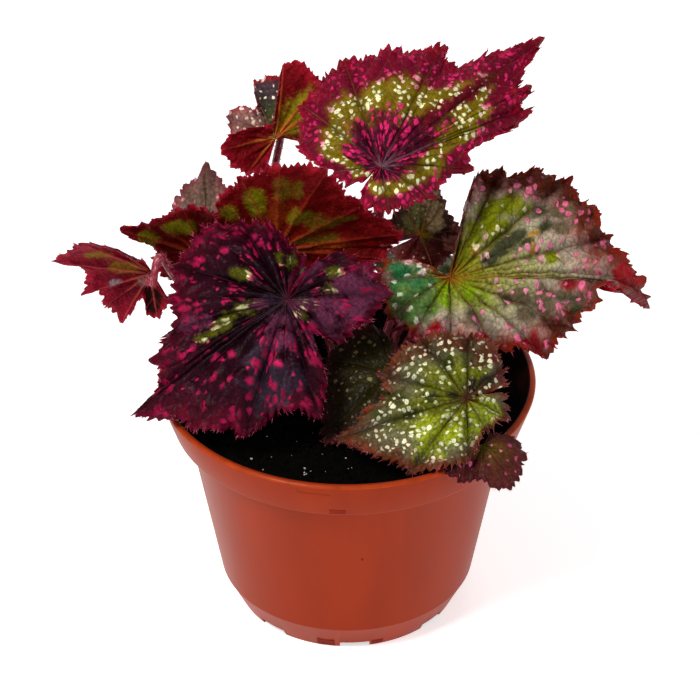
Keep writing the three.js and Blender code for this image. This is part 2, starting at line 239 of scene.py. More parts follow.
def uneven(x, y, size):
    """A lumpy field between about -1 and 1 over x and y, its lumps some size mm wide."""
    total = 0
    for k, (turn, weight) in enumerate(((0.4, 0.4), (1.5, 0.35), (2.4, 0.3), (0.9, 0.25))):
        along = (x * math.cos(turn) + y * math.sin(turn)) / size * (1 + 0.37 * k)
        across = (y * math.cos(turn) - x * math.sin(turn)) / size
        total = total + weight * np.sin(math.pi * along + 1.6 * np.sin(1.3 * across + k))
    return total


def saw(x):
    """Teeth: 0 at each sharp, leaning point and 1 in the notch between two."""
    part = x % 1
    return 1 - np.where(part < LEAN, part / LEAN, (1 - part) / (1 - LEAN))


print("a tooth rises over", LEAN, "of its width")

# %% [markdown]
# ### Facts, teeth and relief
# The veins, the spots and the folds all need to know where on the blade a point lies:
# its share of the way out, its angle, how far it is from a main vein and from the
# margin. These facts are worked out once. Then the teeth are cut, and the blade is
# lifted off its plane: it falls or arches along the rays, folds between the main veins,
# blisters between the side veins and frills towards the margin.

# %% Facts of each point
VEIN_SLANT = 1.15
# a point on the first or last ray counts as this many mm inside the margin
END_ROOM = 0.4


def blade_facts(leaf, u, s):
    """What is known of the point at ray place u and share s of the way out, in mm and degrees."""
    end = through(margin_knots(leaf), u)
    length = np.hypot(end[..., 0], end[..., 1])
    angle = np.degrees(np.unwrap(np.arctan2(end[..., 1], end[..., 0]), axis=1))
    angle += 360 * np.round((leaf["veins"][0][0] - angle[:, :1]) / 360)
    angle = angle + 0 * s
    outer = (1 - s) * length
    ends = [length * s * np.sin(np.radians(np.clip(np.abs(angle - side), 0, 90)))
            for side in (angle[0, 0], angle[0, -1])]
    main = np.array([leaf["veins"][i][0] for i in leaf["main"]], float)
    across = np.radians(np.abs(angle[..., None] - main)).min(axis=-1) * length * s
    return dict(
        share=s * np.ones_like(u), length=length, reach=length * s, angle=angle, drop=end[..., 2],
        along=np.append(0, np.cumsum(np.hypot(*np.diff(end[0, :, :2], axis=0).T)))[None, :],
        outer=outer, edge=np.minimum(outer, np.minimum(*ends) + END_ROOM),
        main=main, across=across, rib=(length * s - VEIN_SLANT * across) / leaf["rib"],
        between=np.sin(np.pi * (u - np.floor(u))), ray=np.floor(u).astype(int),
        flat_x=length * s * np.cos(np.radians(angle)), flat_y=length * s * np.sin(np.radians(angle)))


print("side veins leave the main ones at", VEIN_SLANT, "mm out for each mm aside")

# %% Teeth and notches
BROAD_TOOTH, BROAD_DEEP = 6.3, 6
SMALL_TOOTH, SMALL_DEEP = 2.9, 2.6
# mm of broad tooth from which the small ones are whole, and mm from ray to ray for a whole notch
FULL_TOOTH, FULL_NOTCH = 1.8, 15


def toothed_reach(leaf, s, facts, seed):
    """How far out each point lies, in mm, with broad teeth, small ones on them, and notches."""
    along, outer = facts["along"], facts["outer"]
    broad = leaf["tooth"] * (0.75 + 0.5 * wave(along / 7, seed + 2))
    broad = broad * saw(along / BROAD_TOOTH + 0.5 * wave(along / 9, seed))
    small = 2 + 0.9 * wave(along / 4, seed + 6)
    small = small * saw(along / SMALL_TOOTH + 0.4 * wave(along / 3, seed + 4)) - 0.9
    small = small * min(1, leaf["tooth"] / FULL_TOOTH)
    chord = np.hypot(*np.diff(margin_knots(leaf)[:, :2], axis=0).T)
    chord = chord[np.clip(facts["ray"], 0, len(chord) - 1)]
    notch = leaf["notch"] * np.clip(chord / FULL_NOTCH, 0, 1)
    reach = s * (1 - notch * facts["between"] * s * s) * facts["length"]
    reach = reach - broad * np.clip(1 - outer / BROAD_DEEP, 0, 1)
    return reach - small * np.clip(1 - outer / SMALL_DEEP, 0, 1)


print("teeth:", BROAD_TOOTH, "and", SMALL_TOOTH, "mm apart")

# %% Relief
# a ray that falls by more than HANGING mm falls late, so that its tip hangs
LIFT_POWER, HANGING, HANG_STEP = 1.6, 15, 5
FOLD_WIDE, FOLD_DEPTH = 11, 1.35
CRUMPLE_SIZE = 6
FRILL_DEPTH, FRILL_DEEP = 1.5, 4.5


def blade_lift(leaf, s, facts, seed):
    """How far each point lies off the flat blade, in mm."""
    angle, across, between, drop = (facts[key] for key in ("angle", "across", "between", "drop"))

    # the fall of the blade and its quilting between the rays
    parity = np.where(facts["ray"] % 2 == 1, -1, 1) * leaf["ruffle"]
    power = LIFT_POWER + np.maximum(0, -drop - HANGING) / HANG_STEP
    lift = (drop * s ** power + leaf["arch"] * np.sin(np.pi * s)
            + leaf["pillow"] * between * np.sin(np.pi * s ** 0.8) + parity * between * s ** 3)

    # folds between the main veins
    main = facts["main"]
    high = np.clip(np.searchsorted(main, angle), 1, len(main) - 1)
    gap = main[high] - main[high - 1]
    hump = np.abs(np.sin(np.pi * np.clip((angle - main[high - 1]) / gap, 0, 1))) ** 0.7
    half = np.radians(gap) / 2 * facts["length"] * s
    lift = lift + FOLD_DEPTH * leaf["pleat"] * (hump - 0.6) * np.clip(half / FOLD_WIDE, 0, 1)

    # blisters between the side veins, crumpling all over and frills at the margin
    fade = np.clip(across / 3, 0, 1) * np.clip((1 - s) * 6, 0, 1)
    lift = lift + leaf["blister"] * fade * (np.abs(np.sin(np.pi * facts["rib"])) - 0.5)
    crumples = uneven(facts["flat_x"], facts["flat_y"], CRUMPLE_SIZE)
    lift = lift + leaf["crumple"] * crumples * np.clip(3 * s, 0, 1)
    along, edge = facts["along"], facts["edge"]
    frill = wave(along / 2.6 + 0.15 * facts["outer"], seed + 5)
    frill = frill + 0.5 * wave(along / 0.9, seed + 7) * np.exp(-edge / 1.5)
    return lift + FRILL_DEPTH * leaf["crisp"] * np.exp(-edge / FRILL_DEEP) * frill


print("a fold is full where main veins are", 2 * FOLD_WIDE, "mm apart")


# %% The surface of a blade
def blade_surface(leaf, u, s):
    """Where the blade is at ray place u and share s of the way out, in mm, with its facts."""
    facts = blade_facts(leaf, u, s)
    seed = abs(leaf["heading"]) + 1
    reach = toothed_reach(leaf, s, facts, seed)
    lift = blade_lift(leaf, s, facts, seed)
    tip, side, up = leaf_axes(leaf)
    turn = np.radians(facts["angle"])
    point = (np.array(leaf["junction"], float) + (reach * np.cos(turn))[..., None] * tip
             + (reach * np.sin(turn))[..., None] * side + lift[..., None] * up)
    return point, facts


def fans_of(leaf):
    """The fans of rays a leaf is made of; a curled leaf has two."""
    return [leaf] + [{**leaf, **fan} for fan in leaf.get("other_fans", ())]


print("a leaf is one fan of rays, a curled one is two")

# %% [markdown]
# ## Grids and hairs
# A blade, a stalk and the peat's surface are all a grid primitive whose points are moved
# to their places. The finer the grid, the heavier the file, so a blade has every second
# point only, and the part near its margin, where the teeth are, is subdivided once more.
# Hairs are copies of one needle with three sides, laid down as one mesh.


# %% A grid primitive moved to its places
def subdivide_outer(mesh, share):
    """Subdivides the active grid from that share of its rows on."""
    middles = np.empty(len(mesh.polygons) * 3)
    mesh.polygons.foreach_get("center", middles)
    for part in (mesh.vertices, mesh.edges):
        part.foreach_set("select", np.zeros(len(part), bool))
    mesh.polygons.foreach_set("select", middles[1::3] + 0.5 > share)
    bpy.context.tool_settings.mesh_select_mode = (False, False, True)
    bpy.ops.object.mode_set(mode="EDIT")
    bpy.ops.mesh.subdivide(number_cuts=1)
    bpy.ops.object.mode_set(mode="OBJECT")
    bpy.context.tool_settings.mesh_select_mode = (True, False, False)


def shaped_grid(name, points, flat, attributes, fine_from=None):
    """A grid primitive, each of its points moved to its place in mm.

    With fine_from it has every second point only, and is subdivided from that share of its rows on.
    It gives the piece, and the column and row of each of its points.
    """
    rows, columns = points.shape[:2]
    step = 1 if fine_from is None else 2
    deselect()
    bpy.ops.mesh.primitive_grid_add(
        x_subdivisions=(columns - 1) // step, y_subdivisions=(rows - 1) // step, size=1)
    piece = bpy.context.object
    piece.name = name
    mesh = piece.data
    if fine_from is not None:
        subdivide_outer(mesh, fine_from)
    start = np.empty(len(mesh.vertices) * 3)
    mesh.vertices.foreach_get("co", start)
    start = start.reshape(-1, 3)
    i = np.rint((start[:, 0] + 0.5) * (columns - 1)).astype(int)
    j = np.rint((start[:, 1] + 0.5) * (rows - 1)).astype(int)
    mesh.vertices.foreach_set("co", (points[j, i] * MM).ravel())
    for key, values in attributes.items():
        layer = mesh.attributes.new(key, "FLOAT", "POINT")
        layer.data.foreach_set("value", values[j, i].ravel())
    corner = np.empty(len(mesh.loops), int)
    mesh.loops.foreach_get("vertex_index", corner)
    mesh.uv_layers[0].name = "flat"
    mesh.uv_layers[0].data.foreach_set("uv", flat[j, i][corner].ravel())
    mesh.update()
    return piece, i, j


print("near its margin a blade's grid is twice as fine as in its middle")


# %% Closed seams
SEAM = 0.001 * MM


def close_seams(turn_faces):
    """Merges the points of the active piece that meet, and turns its faces with an operator."""
    bpy.ops.object.mode_set(mode="EDIT")
    bpy.ops.mesh.select_all(action="SELECT")
    bpy.ops.mesh.remove_doubles(threshold=SEAM)
    turn_faces()
    bpy.ops.object.mode_set(mode="OBJECT")
    bpy.ops.object.shade_smooth()


print("points closer than", SEAM / MM, "mm are merged")


# %% Copies of one small shape
def points_and_faces(piece):
    """The points and faces of a primitive, which is removed."""
    points = np.array([v.co for v in piece.data.vertices])
    faces = [tuple(p.vertices) for p in piece.data.polygons]
    bpy.data.objects.remove(piece)
    return points, faces


def copies(name, places, faces, material):
    """One mesh of many copies: the points of each in mm, and the faces of one."""
    step = places.shape[1]
    all_faces = [tuple(k * step + v for v in face) for k in range(len(places)) for face in faces]
    mesh = bpy.data.meshes.new(name)
    mesh.from_pydata((places.reshape(-1, 3) * MM).tolist(), [], all_faces)
    mesh.materials.append(material)
    piece = bpy.data.objects.new(name, mesh)
    bpy.context.scene.collection.objects.link(piece)
    return piece


def join(piece, extras):
    """Joins the extras into the piece, which is then the active one."""
    deselect()
    for extra in extras:
        extra.select_set(True)
    piece.select_set(True)
    bpy.context.view_layer.objects.active = piece
    bpy.ops.object.join()


print("many copies of a shape share one mesh")


# %% Hairs from one needle
SEED = 17
rng = np.random.default_rng(SEED)
deselect()
bpy.ops.mesh.primitive_cone_add(vertices=3, radius1=1, radius2=0, depth=1, location=(0, 0, 0.5))
bpy.ops.object.transform_apply(location=True)
NEEDLE_POINTS, NEEDLE_FACES = points_and_faces(bpy.context.object)


def hairs(name, roots, ways, lengths, width, material):
    """One mesh of needle copies, all in mm, from each root along its way."""
    ways = ways / np.linalg.norm(ways, axis=1, keepdims=True)
    odd = rng.normal(size=ways.shape)
    sides = np.cross(ways, odd)
    sides /= np.linalg.norm(sides, axis=1, keepdims=True)
    others = np.cross(ways, sides)
    p = NEEDLE_POINTS
    places = (roots[:, None] + width * (p[:, 0][None, :, None] * sides[:, None]
              + p[:, 1][None, :, None] * others[:, None])
              + (p[:, 2][None, :, None] * lengths[:, None, None]) * ways[:, None])
    return copies(name, places, NEEDLE_FACES, material)


print("a hair has", len(NEEDLE_FACES), "faces")

# %% The finish of a hair
hair, tree, shader = new_material("begonia_hair_translucent_pink")
# hairs are clear with a drop of red sap; drawn twice as thick as real so that they show
dress(tree, shader, {"Base Color": linear("c05468"), "Roughness": 0.5, "Specular IOR Level": 0.2})
FRINGE_WIDTH, BRISTLE_WIDTH = 0.12, 0.09
print("hairs:", FRINGE_WIDTH, "and", BRISTLE_WIDTH, "mm thick")

# %% [markdown]
# ## Leaf blades: the finish
# The upper skin of a rex begonia is cells full of red sap over green ones. Where the air
# under the skin differs it shows as zones: a dark star round the junction, a pale green
# or silver ring, a red margin. Raised warts stand as pink or cream spots between the
# veins. Painting each leaf by hand would take a picture of it. Here each layer is a
# function, one finish stacks them all, and each leaf gives it its own colours, widths
# and places. Patterns are laid in the blade's own millimetres, so that they follow
# every fold.

# %% What every layer reads
# the numbered inputs of a Map Range are its value, the two ends that it runs between, and what those
# ends become; a Mix takes its share in input 0 and its two colours in 6 and 7
MATH, RANGE = "ShaderNodeMath", "ShaderNodeMapRange"
MIX, RAMP = "ShaderNodeMix", "ShaderNodeValToRGB"
NOISE, CELLS, VECTOR = "ShaderNodeTexNoise", "ShaderNodeTexVoronoi", "ShaderNodeVectorMath"
SMOOTH = dict(interpolation_type="SMOOTHSTEP")
FACTS = ("share", "across", "edge", "rib", "reach", "angle")
CLOUD_SIZE, GRAIN_SIZE, WARP_SIZE, NET_SIZE = 7, 1.3, 2.2, 2.4
WARP_FAR = 1.7


def grounds(tree):
    """The facts of the blade, slow clouds, fine grain, and a net of cells on a warped ground."""
    ground = {key: add(tree, "ShaderNodeAttribute", attribute_name=key)["Fac"] for key in FACTS}
    flat = add(tree, "ShaderNodeUVMap", uv_map="flat")["UV"]
    ground["cloud"] = add(
        tree, NOISE, {"Vector": flat, "Scale": 1 / CLOUD_SIZE, "Detail": 4, "Roughness": 0.62},
        noise_dimensions="2D")[0]
    ground["grain"] = add(tree, NOISE, {"Vector": flat, "Scale": 1 / GRAIN_SIZE, "Detail": 3},
                          noise_dimensions="2D")[0]
    warp = add(tree, NOISE, {"Vector": flat, "Scale": 1 / WARP_SIZE, "Detail": 2},
               noise_dimensions="2D")[1]
    ground["warp"] = warp
    ground["warped"] = add(tree, VECTOR, {0: warp, 1: (WARP_FAR, WARP_FAR, 0), 2: flat},
                           operation="MULTIPLY_ADD")[0]
    ground["net"] = add(tree, CELLS, {"Vector": ground["warped"], "Scale": 1 / NET_SIZE},
                        feature="DISTANCE_TO_EDGE", voronoi_dimensions="2D")[0]
    return ground


print("patterns, mm:", CLOUD_SIZE, GRAIN_SIZE, WARP_SIZE, NET_SIZE)


# %% Zones, patches and margin
PATCH_RIM = 0.56
GRAIN_PART = 0.3
# the clouds shift the inner edge of the margin by up to this many mm
MARGIN_WANDER = 4


def zone_layer(tree, look, ground):
    """The star and the coloured zones; gives the colour, and how far out in the zones a place is."""
    wander = look["wander"]
    near = add(tree, RANGE, {0: ground["across"], 1: 0, 2: look["star"][1], 3: 1, 4: 0}, **SMOOTH)[0]
    drift = add(tree, MATH, {0: ground["cloud"], 1: wander, 2: -wander / 2}, operation="MULTIPLY_ADD")[0]
    zone = add(tree, MATH, {0: ground["share"], 1: drift}, operation="ADD")[0]
    zone = add(tree, MATH, {0: near, 1: -look["star"][0], 2: zone}, operation="MULTIPLY_ADD")[0]
    return add(tree, RAMP, {0: zone}, look["zones"])[0], zone


def patch_layer(tree, look, ground, colour):
    """Patches of other colours, ragged at their edges; gives the colour, and where each patch is."""
    rough, blend = look["ragged"], look["blend"]
    # the clouds and the grain are a half on average
    middle = PATCH_RIM + 0.5 * (1 + GRAIN_PART) * rough
    holds = []
    for k, hexcode in enumerate(look["patches"]):
        tint = add(tree, "ShaderNodeAttribute", attribute_name=f"patch_{k}")["Fac"]
        ragged = add(tree, MATH, {0: ground["cloud"], 1: rough, 2: tint}, operation="MULTIPLY_ADD")[0]
        ragged = add(tree, MATH, {0: ground["grain"], 1: GRAIN_PART * rough, 2: ragged},
                     operation="MULTIPLY_ADD")[0]
        hold = add(tree, RANGE, {0: ragged, 1: middle - blend, 2: middle + blend, 3: 0, 4: 1},
                   **SMOOTH)[0]
        colour = add(tree, MIX, {0: hold, 6: colour, 7: linear(hexcode)}, data_type="RGBA")[2]
        holds.append(hold)
    return colour, holds


def margin_layer(tree, look, ground, colour):
    """The coloured margin, some mm wide, with an uneven inner edge."""
    hexcode, width, strength = look["margin"]
    edge = add(tree, MATH, {0: ground["cloud"], 1: -MARGIN_WANDER, 2: ground["edge"]},
               operation="MULTIPLY_ADD")[0]
    at_margin = add(tree, RANGE, {0: edge, 1: width - 1, 2: -2, 3: 0, 4: strength}, **SMOOTH)[0]
    return add(tree, MIX, {0: at_margin, 6: colour, 7: linear(hexcode)}, data_type="RGBA")[2]


print("a patch ends where its value falls to", PATCH_RIM)

# %% Veins
NET_WIDTH = 0.2
RIB_WIDTH, RIB_WANDER = 0.1, 0.25
VEIN_TAPER, VEIN_WANDER = 0.75, 0.5


def vein_layer(tree, look, ground, colour):
    """The net of small veins, side veins every few mm, and main veins that taper."""
    hexcode, strength = look["net"]
    net = add(tree, RANGE, {0: ground["net"], 1: NET_WIDTH, 2: 0, 3: 0, 4: strength}, **SMOOTH)[0]
    colour = add(tree, MIX, {0: net, 6: colour, 7: linear(hexcode)}, data_type="RGBA")[2]
    hexcode, strength = look["rib"]
    rib = add(tree, MATH, {0: ground["cloud"], 1: RIB_WANDER, 2: ground["rib"]},
              operation="MULTIPLY_ADD")[0]
    rib = add(tree, MATH, {0: rib, 1: 0.5}, operation="PINGPONG")[0]
    rib = add(tree, RANGE, {0: rib, 1: RIB_WIDTH, 2: 0, 3: 0, 4: strength}, **SMOOTH)[0]
    colour = add(tree, MIX, {0: rib, 6: colour, 7: linear(hexcode)}, data_type="RGBA")[2]
    stops, width, strength = look["vein"]
    taper = add(tree, MATH, {0: ground["share"], 1: -VEIN_TAPER * width, 2: width},
                operation="MULTIPLY_ADD")[0]
    vein = add(tree, MATH, {0: ground["grain"], 1: VEIN_WANDER, 2: ground["across"]},
               operation="MULTIPLY_ADD")[0]
    vein = add(tree, MATH, {0: vein, 1: VEIN_WANDER / 2}, operation="SUBTRACT")[0]
    vein = add(tree, RANGE, {0: vein, 1: taper, 2: 0, 3: 0, 4: strength}, **SMOOTH)[0]
    vein_colour = add(tree, RAMP, {0: ground["share"]}, stops)[0]
    return add(tree, MIX, {0: vein, 6: colour, 7: vein_colour}, data_type="RGBA")[2]


print("small veins fade within", NET_WIDTH * NET_SIZE, "mm")

# %% Where the spots are
# cell is mm from spot to spot, size the smallest and largest radius, amount the share of cells with
# a spot, rare how few are large; cluster holds the degrees and the mm from one to the next, and a
# radius as a share of those; drawn holds what a degree across and a mm along a ray count for in the
# pattern, so less is longer; core is the full part of a spot's radius, ring the light of its middle,
# dull that of the dullest spot
SPOT = dict(rare=2, cluster=None, drawn=None, core=0.45, ring=0.8, dull=0.75, on_patch={},
            where=[(0, "ffffff"), (1, "ffffff")])
LOOSE = 0.8
CLEAR_OF_VEINS = (0.35, 1.1)
SPOT_SHAKE, CLUSTER_SHAKE, CLUSTER_SOFT = 1.3, 0.5, 0.06


def along_rays(tree, ground, scales, shake):
    """A ground in degrees along the margin and mm along the rays, each times a scale, and shaken."""
    turned = add(tree, MATH, {0: ground["angle"], 1: scales[0]}, operation="MULTIPLY")[0]
    out = add(tree, MATH, {0: ground["reach"], 1: scales[1]}, operation="MULTIPLY")[0]
    place = add(tree, "ShaderNodeCombineXYZ", {0: turned, 1: out})[0]
    return add(tree, VECTOR, {0: ground["warp"], 1: (shake, shake, 0), 2: place},
               operation="MULTIPLY_ADD")[0]


def spot_places(tree, spot, ground, zone):
    """Where the spots of one kind are, with their cells and the radius of their cores."""
    place = ground["warped"]
    if spot["drawn"]:
        place = along_rays(tree, ground, spot["drawn"], SPOT_SHAKE)
    cells = add(tree, CELLS, {"Vector": place, "Scale": 1 / spot["cell"], "Randomness": LOOSE},
                voronoi_dimensions="2D")
    odds = add(tree, "ShaderNodeSeparateColor", {0: cells["Color"]})
    rare = add(tree, MATH, {0: odds[0], 1: spot["rare"]}, operation="POWER")[0]
    small, large = (radius / spot["cell"] for radius in spot["size"])
    radius = add(tree, RANGE, {0: rare, 1: 0, 2: 1, 3: small, 4: large})[0]
    there = add(tree, MATH, {0: odds[1], 1: spot["amount"]}, operation="LESS_THAN")[0]
    if spot["cluster"]:
        wide, long, part = spot["cluster"]
        ray = along_rays(tree, ground, (1 / wide, 1 / long), CLUSTER_SHAKE)
        cluster = add(tree, CELLS, {"Vector": ray, "Scale": 1}, voronoi_dimensions="2D")["Distance"]
        cluster = add(tree, RANGE,
                      {0: cluster, 1: part + CLUSTER_SOFT, 2: part - CLUSTER_SOFT, 3: 0, 4: 1})[0]
        there = add(tree, MATH, {0: there, 1: cluster}, operation="MULTIPLY")[0]
    radius = add(tree, MATH, {0: radius, 1: there}, operation="MULTIPLY")[0]
    core = add(tree, MATH, {0: radius, 1: spot["core"]}, operation="MULTIPLY")[0]
    mask = add(tree, RANGE, {0: cells["Distance"], 1: radius, 2: core, 3: 0, 4: 1}, **SMOOTH)[0]
    where = add(tree, RAMP, {0: zone}, spot["where"])[0]
    mask = add(tree, MATH, {0: mask, 1: where}, operation="MULTIPLY")[0]
    clear = add(tree, RANGE, {0: ground["across"], 1: CLEAR_OF_VEINS[0], 2: CLEAR_OF_VEINS[1]})[0]
    mask = add(tree, MATH, {0: mask, 1: clear}, operation="MULTIPLY")[0]
    return mask, cells["Distance"], odds[2], core


print("spots keep", CLEAR_OF_VEINS[0], "mm off the main veins")


# %% The colour of the spots
# the lightest spot and the light just outside a spot's core, times its colour; how far a spot stands up
LIGHTEST, CORE_EDGE, SPOT_RELIEF = 1.15, 1.1, 0.8


def spot_layer(tree, spot, ground, zone, holds, colour, relief):
    """Warts between the veins, in loose clusters along the rays; gives the colour and the relief."""
    mask, distance, odds, core = spot_places(tree, spot, ground, zone)
    wart = add(tree, RAMP, {0: zone}, spot["colours"])[0]
    for k, hexcode in spot["on_patch"].items():
        wart = add(tree, MIX, {0: holds[k], 6: wart, 7: linear(hexcode)}, data_type="RGBA")[2]
    own = add(tree, RANGE, {0: odds, 1: 0, 2: 1, 3: spot["dull"], 4: LIGHTEST})[0]
    # from a spot's middle to its rim its lightness changes: partly its own ring of colour, partly
    # painted light and shade of the raised wart
    dull = add(tree, RANGE, {0: distance, 1: 0, 2: core, 3: spot["ring"], 4: CORE_EDGE})[0]
    dull = add(tree, MATH, {0: dull, 1: own}, operation="MULTIPLY")[0]
    wart = add(tree, "ShaderNodeHueSaturation", {"Color": wart, "Value": dull})[0]
    colour = add(tree, MIX, {0: mask, 6: colour, 7: wart}, data_type="RGBA")[2]
    return colour, add(tree, MATH, {0: mask, 1: SPOT_RELIEF, 2: relief}, operation="MULTIPLY_ADD")[0]


print("spots are", SPOT["dull"], "to", LIGHTEST, "times as light as their colour")

# %% The whole finish of a blade side
BLADE_BUMP = 0.6 * MM
NET_RELIEF, GRAIN_RELIEF = 1.2, 0.3
# what clouds and grain together run between, and where the painted shade of a main vein's valley begins
# and ends, in mm
MOTTLE, VALLEY_SHADE_SPAN = (0.65, 1.35), (0.5, 4.5)
# the crests between the main veins are painted this many times as light, as a painted highlight
CREST_LIGHT = 1.08


def blade_finish(name, look):
    """Stacks the layers, then light and dark from cell to cell, painted shade along the main veins,
    gloss and the pebbled skin.
    """
    material, tree, shader = new_material(name)
    ground = grounds(tree)
    colour, zone = zone_layer(tree, look, ground)
    colour, holds = patch_layer(tree, look, ground, colour)
    colour = margin_layer(tree, look, ground, colour)
    colour = vein_layer(tree, look, ground, colour)
    relief = add(tree, MATH, {0: ground["net"], 1: NET_RELIEF}, operation="MULTIPLY")[0]
    for spot in look["spots"]:
        colour, relief = spot_layer(tree, {**SPOT, **spot}, ground, zone, holds, colour, relief)

    deep, rough = look["contrast"], look["rough"]
    # light and dark from cell to cell: partly the skin's own mottle, partly painted light and shade of
    # its fine wrinkles
    shade = add(tree, MATH, {0: ground["grain"], 1: ground["cloud"]}, operation="ADD")[0]
    shade = add(tree, RANGE, {0: shade, 1: MOTTLE[0], 2: MOTTLE[1], 3: 1 - deep, 4: 1 + deep})[0]
    # painted shade: darker in the valleys along the main veins, lighter on the crests between them
    valley_shade = add(tree, RANGE, {0: ground["across"], 1: VALLEY_SHADE_SPAN[0], 2: VALLEY_SHADE_SPAN[1], 3: look["valley_shade"],
                               4: CREST_LIGHT})[0]
    shade = add(tree, MATH, {0: shade, 1: valley_shade}, operation="MULTIPLY")[0]
    colour = add(tree, "ShaderNodeHueSaturation", {"Color": colour, "Value": shade})[0]
    relief = add(tree, MATH, {0: ground["grain"], 1: GRAIN_RELIEF, 2: relief},
                 operation="MULTIPLY_ADD")[0]
    bump = add(tree, "ShaderNodeBump",
               {"Height": relief, "Strength": look["bump"], "Distance": BLADE_BUMP})[0]
    gloss = add(tree, RANGE, {0: ground["grain"], 1: 0.3, 2: 0.7, 3: rough - 0.08, 4: rough + 0.1})[0]
    dress(tree, shader, {"Base Color": colour, "Roughness": gloss, "Normal": bump,
                         "Specular IOR Level": look["specular"]})
    return material


print("the skin is pebbled", BLADE_BUMP / MM, "mm deep")

# %% [markdown]
# ## The fourteen leaves
# Each leaf is written down once: where its junction is and how it is turned, its rays,
# how it is quilted and folded, the line of its stalk, then the finish of its two sides
# and the places of its patches. What most leaves share comes first. The underside of
# nearly all of them is red, with pale veins and a few olive windows.

# %% What the leaves share
# a ray is its angle in degrees, its length and its height in mm; a patch its angle, distance and radius
# net, rib, vein and margin each have colours and a strength, vein and margin also a width in mm
LEAVES, LOOKS, PATCHES = {}, {}, {}
ON, OFF = "ffffff", "000000"
OLIVE, CREAM, MAGENTA = "7a760c", "f2f0b0", "c41e5c"
# each look also gives how much of its colour the painted shade along the main veins leaves
BASE = dict(star=(0.05, 5), wander=0.3, patches=(), spots=(), rough=0.4, specular=0.1, valley_shade=0.72,
            ragged=1.1, blend=0.14, contrast=0.35, bump=0.7)
# its red grows lighter towards the margin: partly its own colour, partly painted light shining through
# the thin blade
RED_UNDER = dict(
    BASE, zones=[(0, "7c1c06"), (0.3, "6c0a06"), (0.7, "5a0406"), (0.9, "6a060c"), (1, "880e1c")],
    net=("2c0204", 0.3), rib=("7a1c10", 0.35),
    vein=([(0, "a8501c"), (0.5, "8c2c14"), (1, "8a1c24")], 1.1, 0.7),
    margin=("a4142c", 2.5, 0.75), rough=0.5, specular=0.05, valley_shade=1, ragged=0.6, blend=0.22,
    patches=(OLIVE, "8a3008", "5e440c"))
PURPLE_TOP = dict(
    BASE, zones=[(0, "28061c"), (0.34, "300a24"), (0.42, "62600f"), (0.62, "6c6a12"), (0.7, "4a0a2a"),
                 (1, "560c2c")],
    net=("16040f", 0.35), rib=("4a2a28", 0.35), vein=([(0, "7a4a58"), (1, "6a2838")], 0.9, 0.7),
    spots=[dict(cell=2.8, size=(0.6, 1.4), amount=0.8, cluster=(12, 12, 0.4),
                colours=[(0.36, MAGENTA), (0.42, CREAM), (0.62, CREAM), (0.68, MAGENTA)])],
    margin=("64102f", 2, 0.8))
print("red underside:", len(RED_UNDER["patches"]), "kinds of patches")

# %% [markdown]
# The top leaf is the plant's largest: a near-black star with magenta streaks, a wide
# olive ring full of cream warts, and a crimson margin. It stands steeply, tip to the
# upper right.

# %% The top leaf
LEAVES["leaf_top"] = dict(
    junction=(13, 8, 193), heading=39, slope=19, roll=26,
    tooth=2, notch=0.05, pillow=1.3, ruffle=1, arch=1,
    main=(2, 3, 5, 9, 14, 17, 19, 21, 23), rib=7, blister=0.45, pleat=1.3, crumple=0.35, crisp=1.2,
    veins=[(-178, 9, -2), (-162, 15, -4), (-120, 17, -7), (-66, 23, -9), (-46, 26, -8), (-36, 37, -8),
           (-26, 38, -6), (-21, 56, -6), (-18, 66, -4), (-16, 67, -4), (-14, 63, -3), (-12, 70, -2),
           (-10, 71, -2), (-8, 68, -1), (0, 88, 0), (9, 66, -1), (18, 55, 0), (23, 62, 0), (44, 53, 1),
           (64, 50, 0), (74, 48, -3), (93, 44, -6), (119, 34, -8), (141, 20, -3), (165, 16, -1),
           (179, 10, -1)],
    stalk=(2.1, [(4, 13, 94), (7, 32, 120), (12, 39, 148), (14, 27, 174)]))
LOOKS["leaf_top"] = (dict(
    BASE, wander=0.26, star=(-0.07, 4),
    zones=[(0, "2c0418"), (0.2, "400620"), (0.36, "560824"), (0.41, "5c2c10"), (0.46, "746004"),
           (0.66, "7c6a08"), (0.71, "6c340e"), (0.76, "6a0824"), (0.94, "720622"), (1, "8a0620")],
    net=("2c0a1c", 0.22), rib=("6a3c28", 0.3),
    vein=([(0, "9a6a80"), (0.4, "8a5a60"), (0.55, "6a5c18"), (1, "80401c")], 0.8, 0.75),
    spots=[dict(cell=2, size=(0.8, 1.35), amount=0.9, rare=1, cluster=(9, 20, 0.46), drawn=(0.34, 0.62),
                where=[(0.06, OFF), (0.12, ON), (0.44, ON), (0.5, OFF)],
                colours=[(0, "a0184c"), (0.2, "c41e5c"), (0.45, "e02c70")]),
           dict(cell=2.6, size=(0.8, 1.45), amount=0.9, rare=1, cluster=(9, 8, 0.5),
                where=[(0.4, OFF), (0.45, ON), (0.95, ON), (0.99, "404040")],
                colours=[(0.43, "d8407c"), (0.47, "f0ecb0"), (0.64, "f6f4c4"), (0.7, "e090a0"),
                         (0.74, "d02468"), (1, "b0184c")])],
    margin=("900828", 2, 0.7), patches=("68081c", "7c7008"), blend=0.2, specular=0.06), RED_UNDER)
PATCHES["leaf_top"] = (
    [(5, 30, 4), (4, 36, 4), (2, 42, 4), (0, 48, 4), (-1, 54, 4), (-2, 60, 4)],
    [(-11, 47, 3), (-15, 39, 3), (-37, 20, 4), (50, 31, 3)])
print("leaf_top:", len(LEAVES["leaf_top"]["veins"]), "rays")

# %% [markdown]
# The large leaf on the right is lime at its junction and grey-green further out, with
# pink spots that turn pale on its lime and teal places. Its margin is brown, crimson
# where it curls, and its tip hangs down between rays 3 and 8.

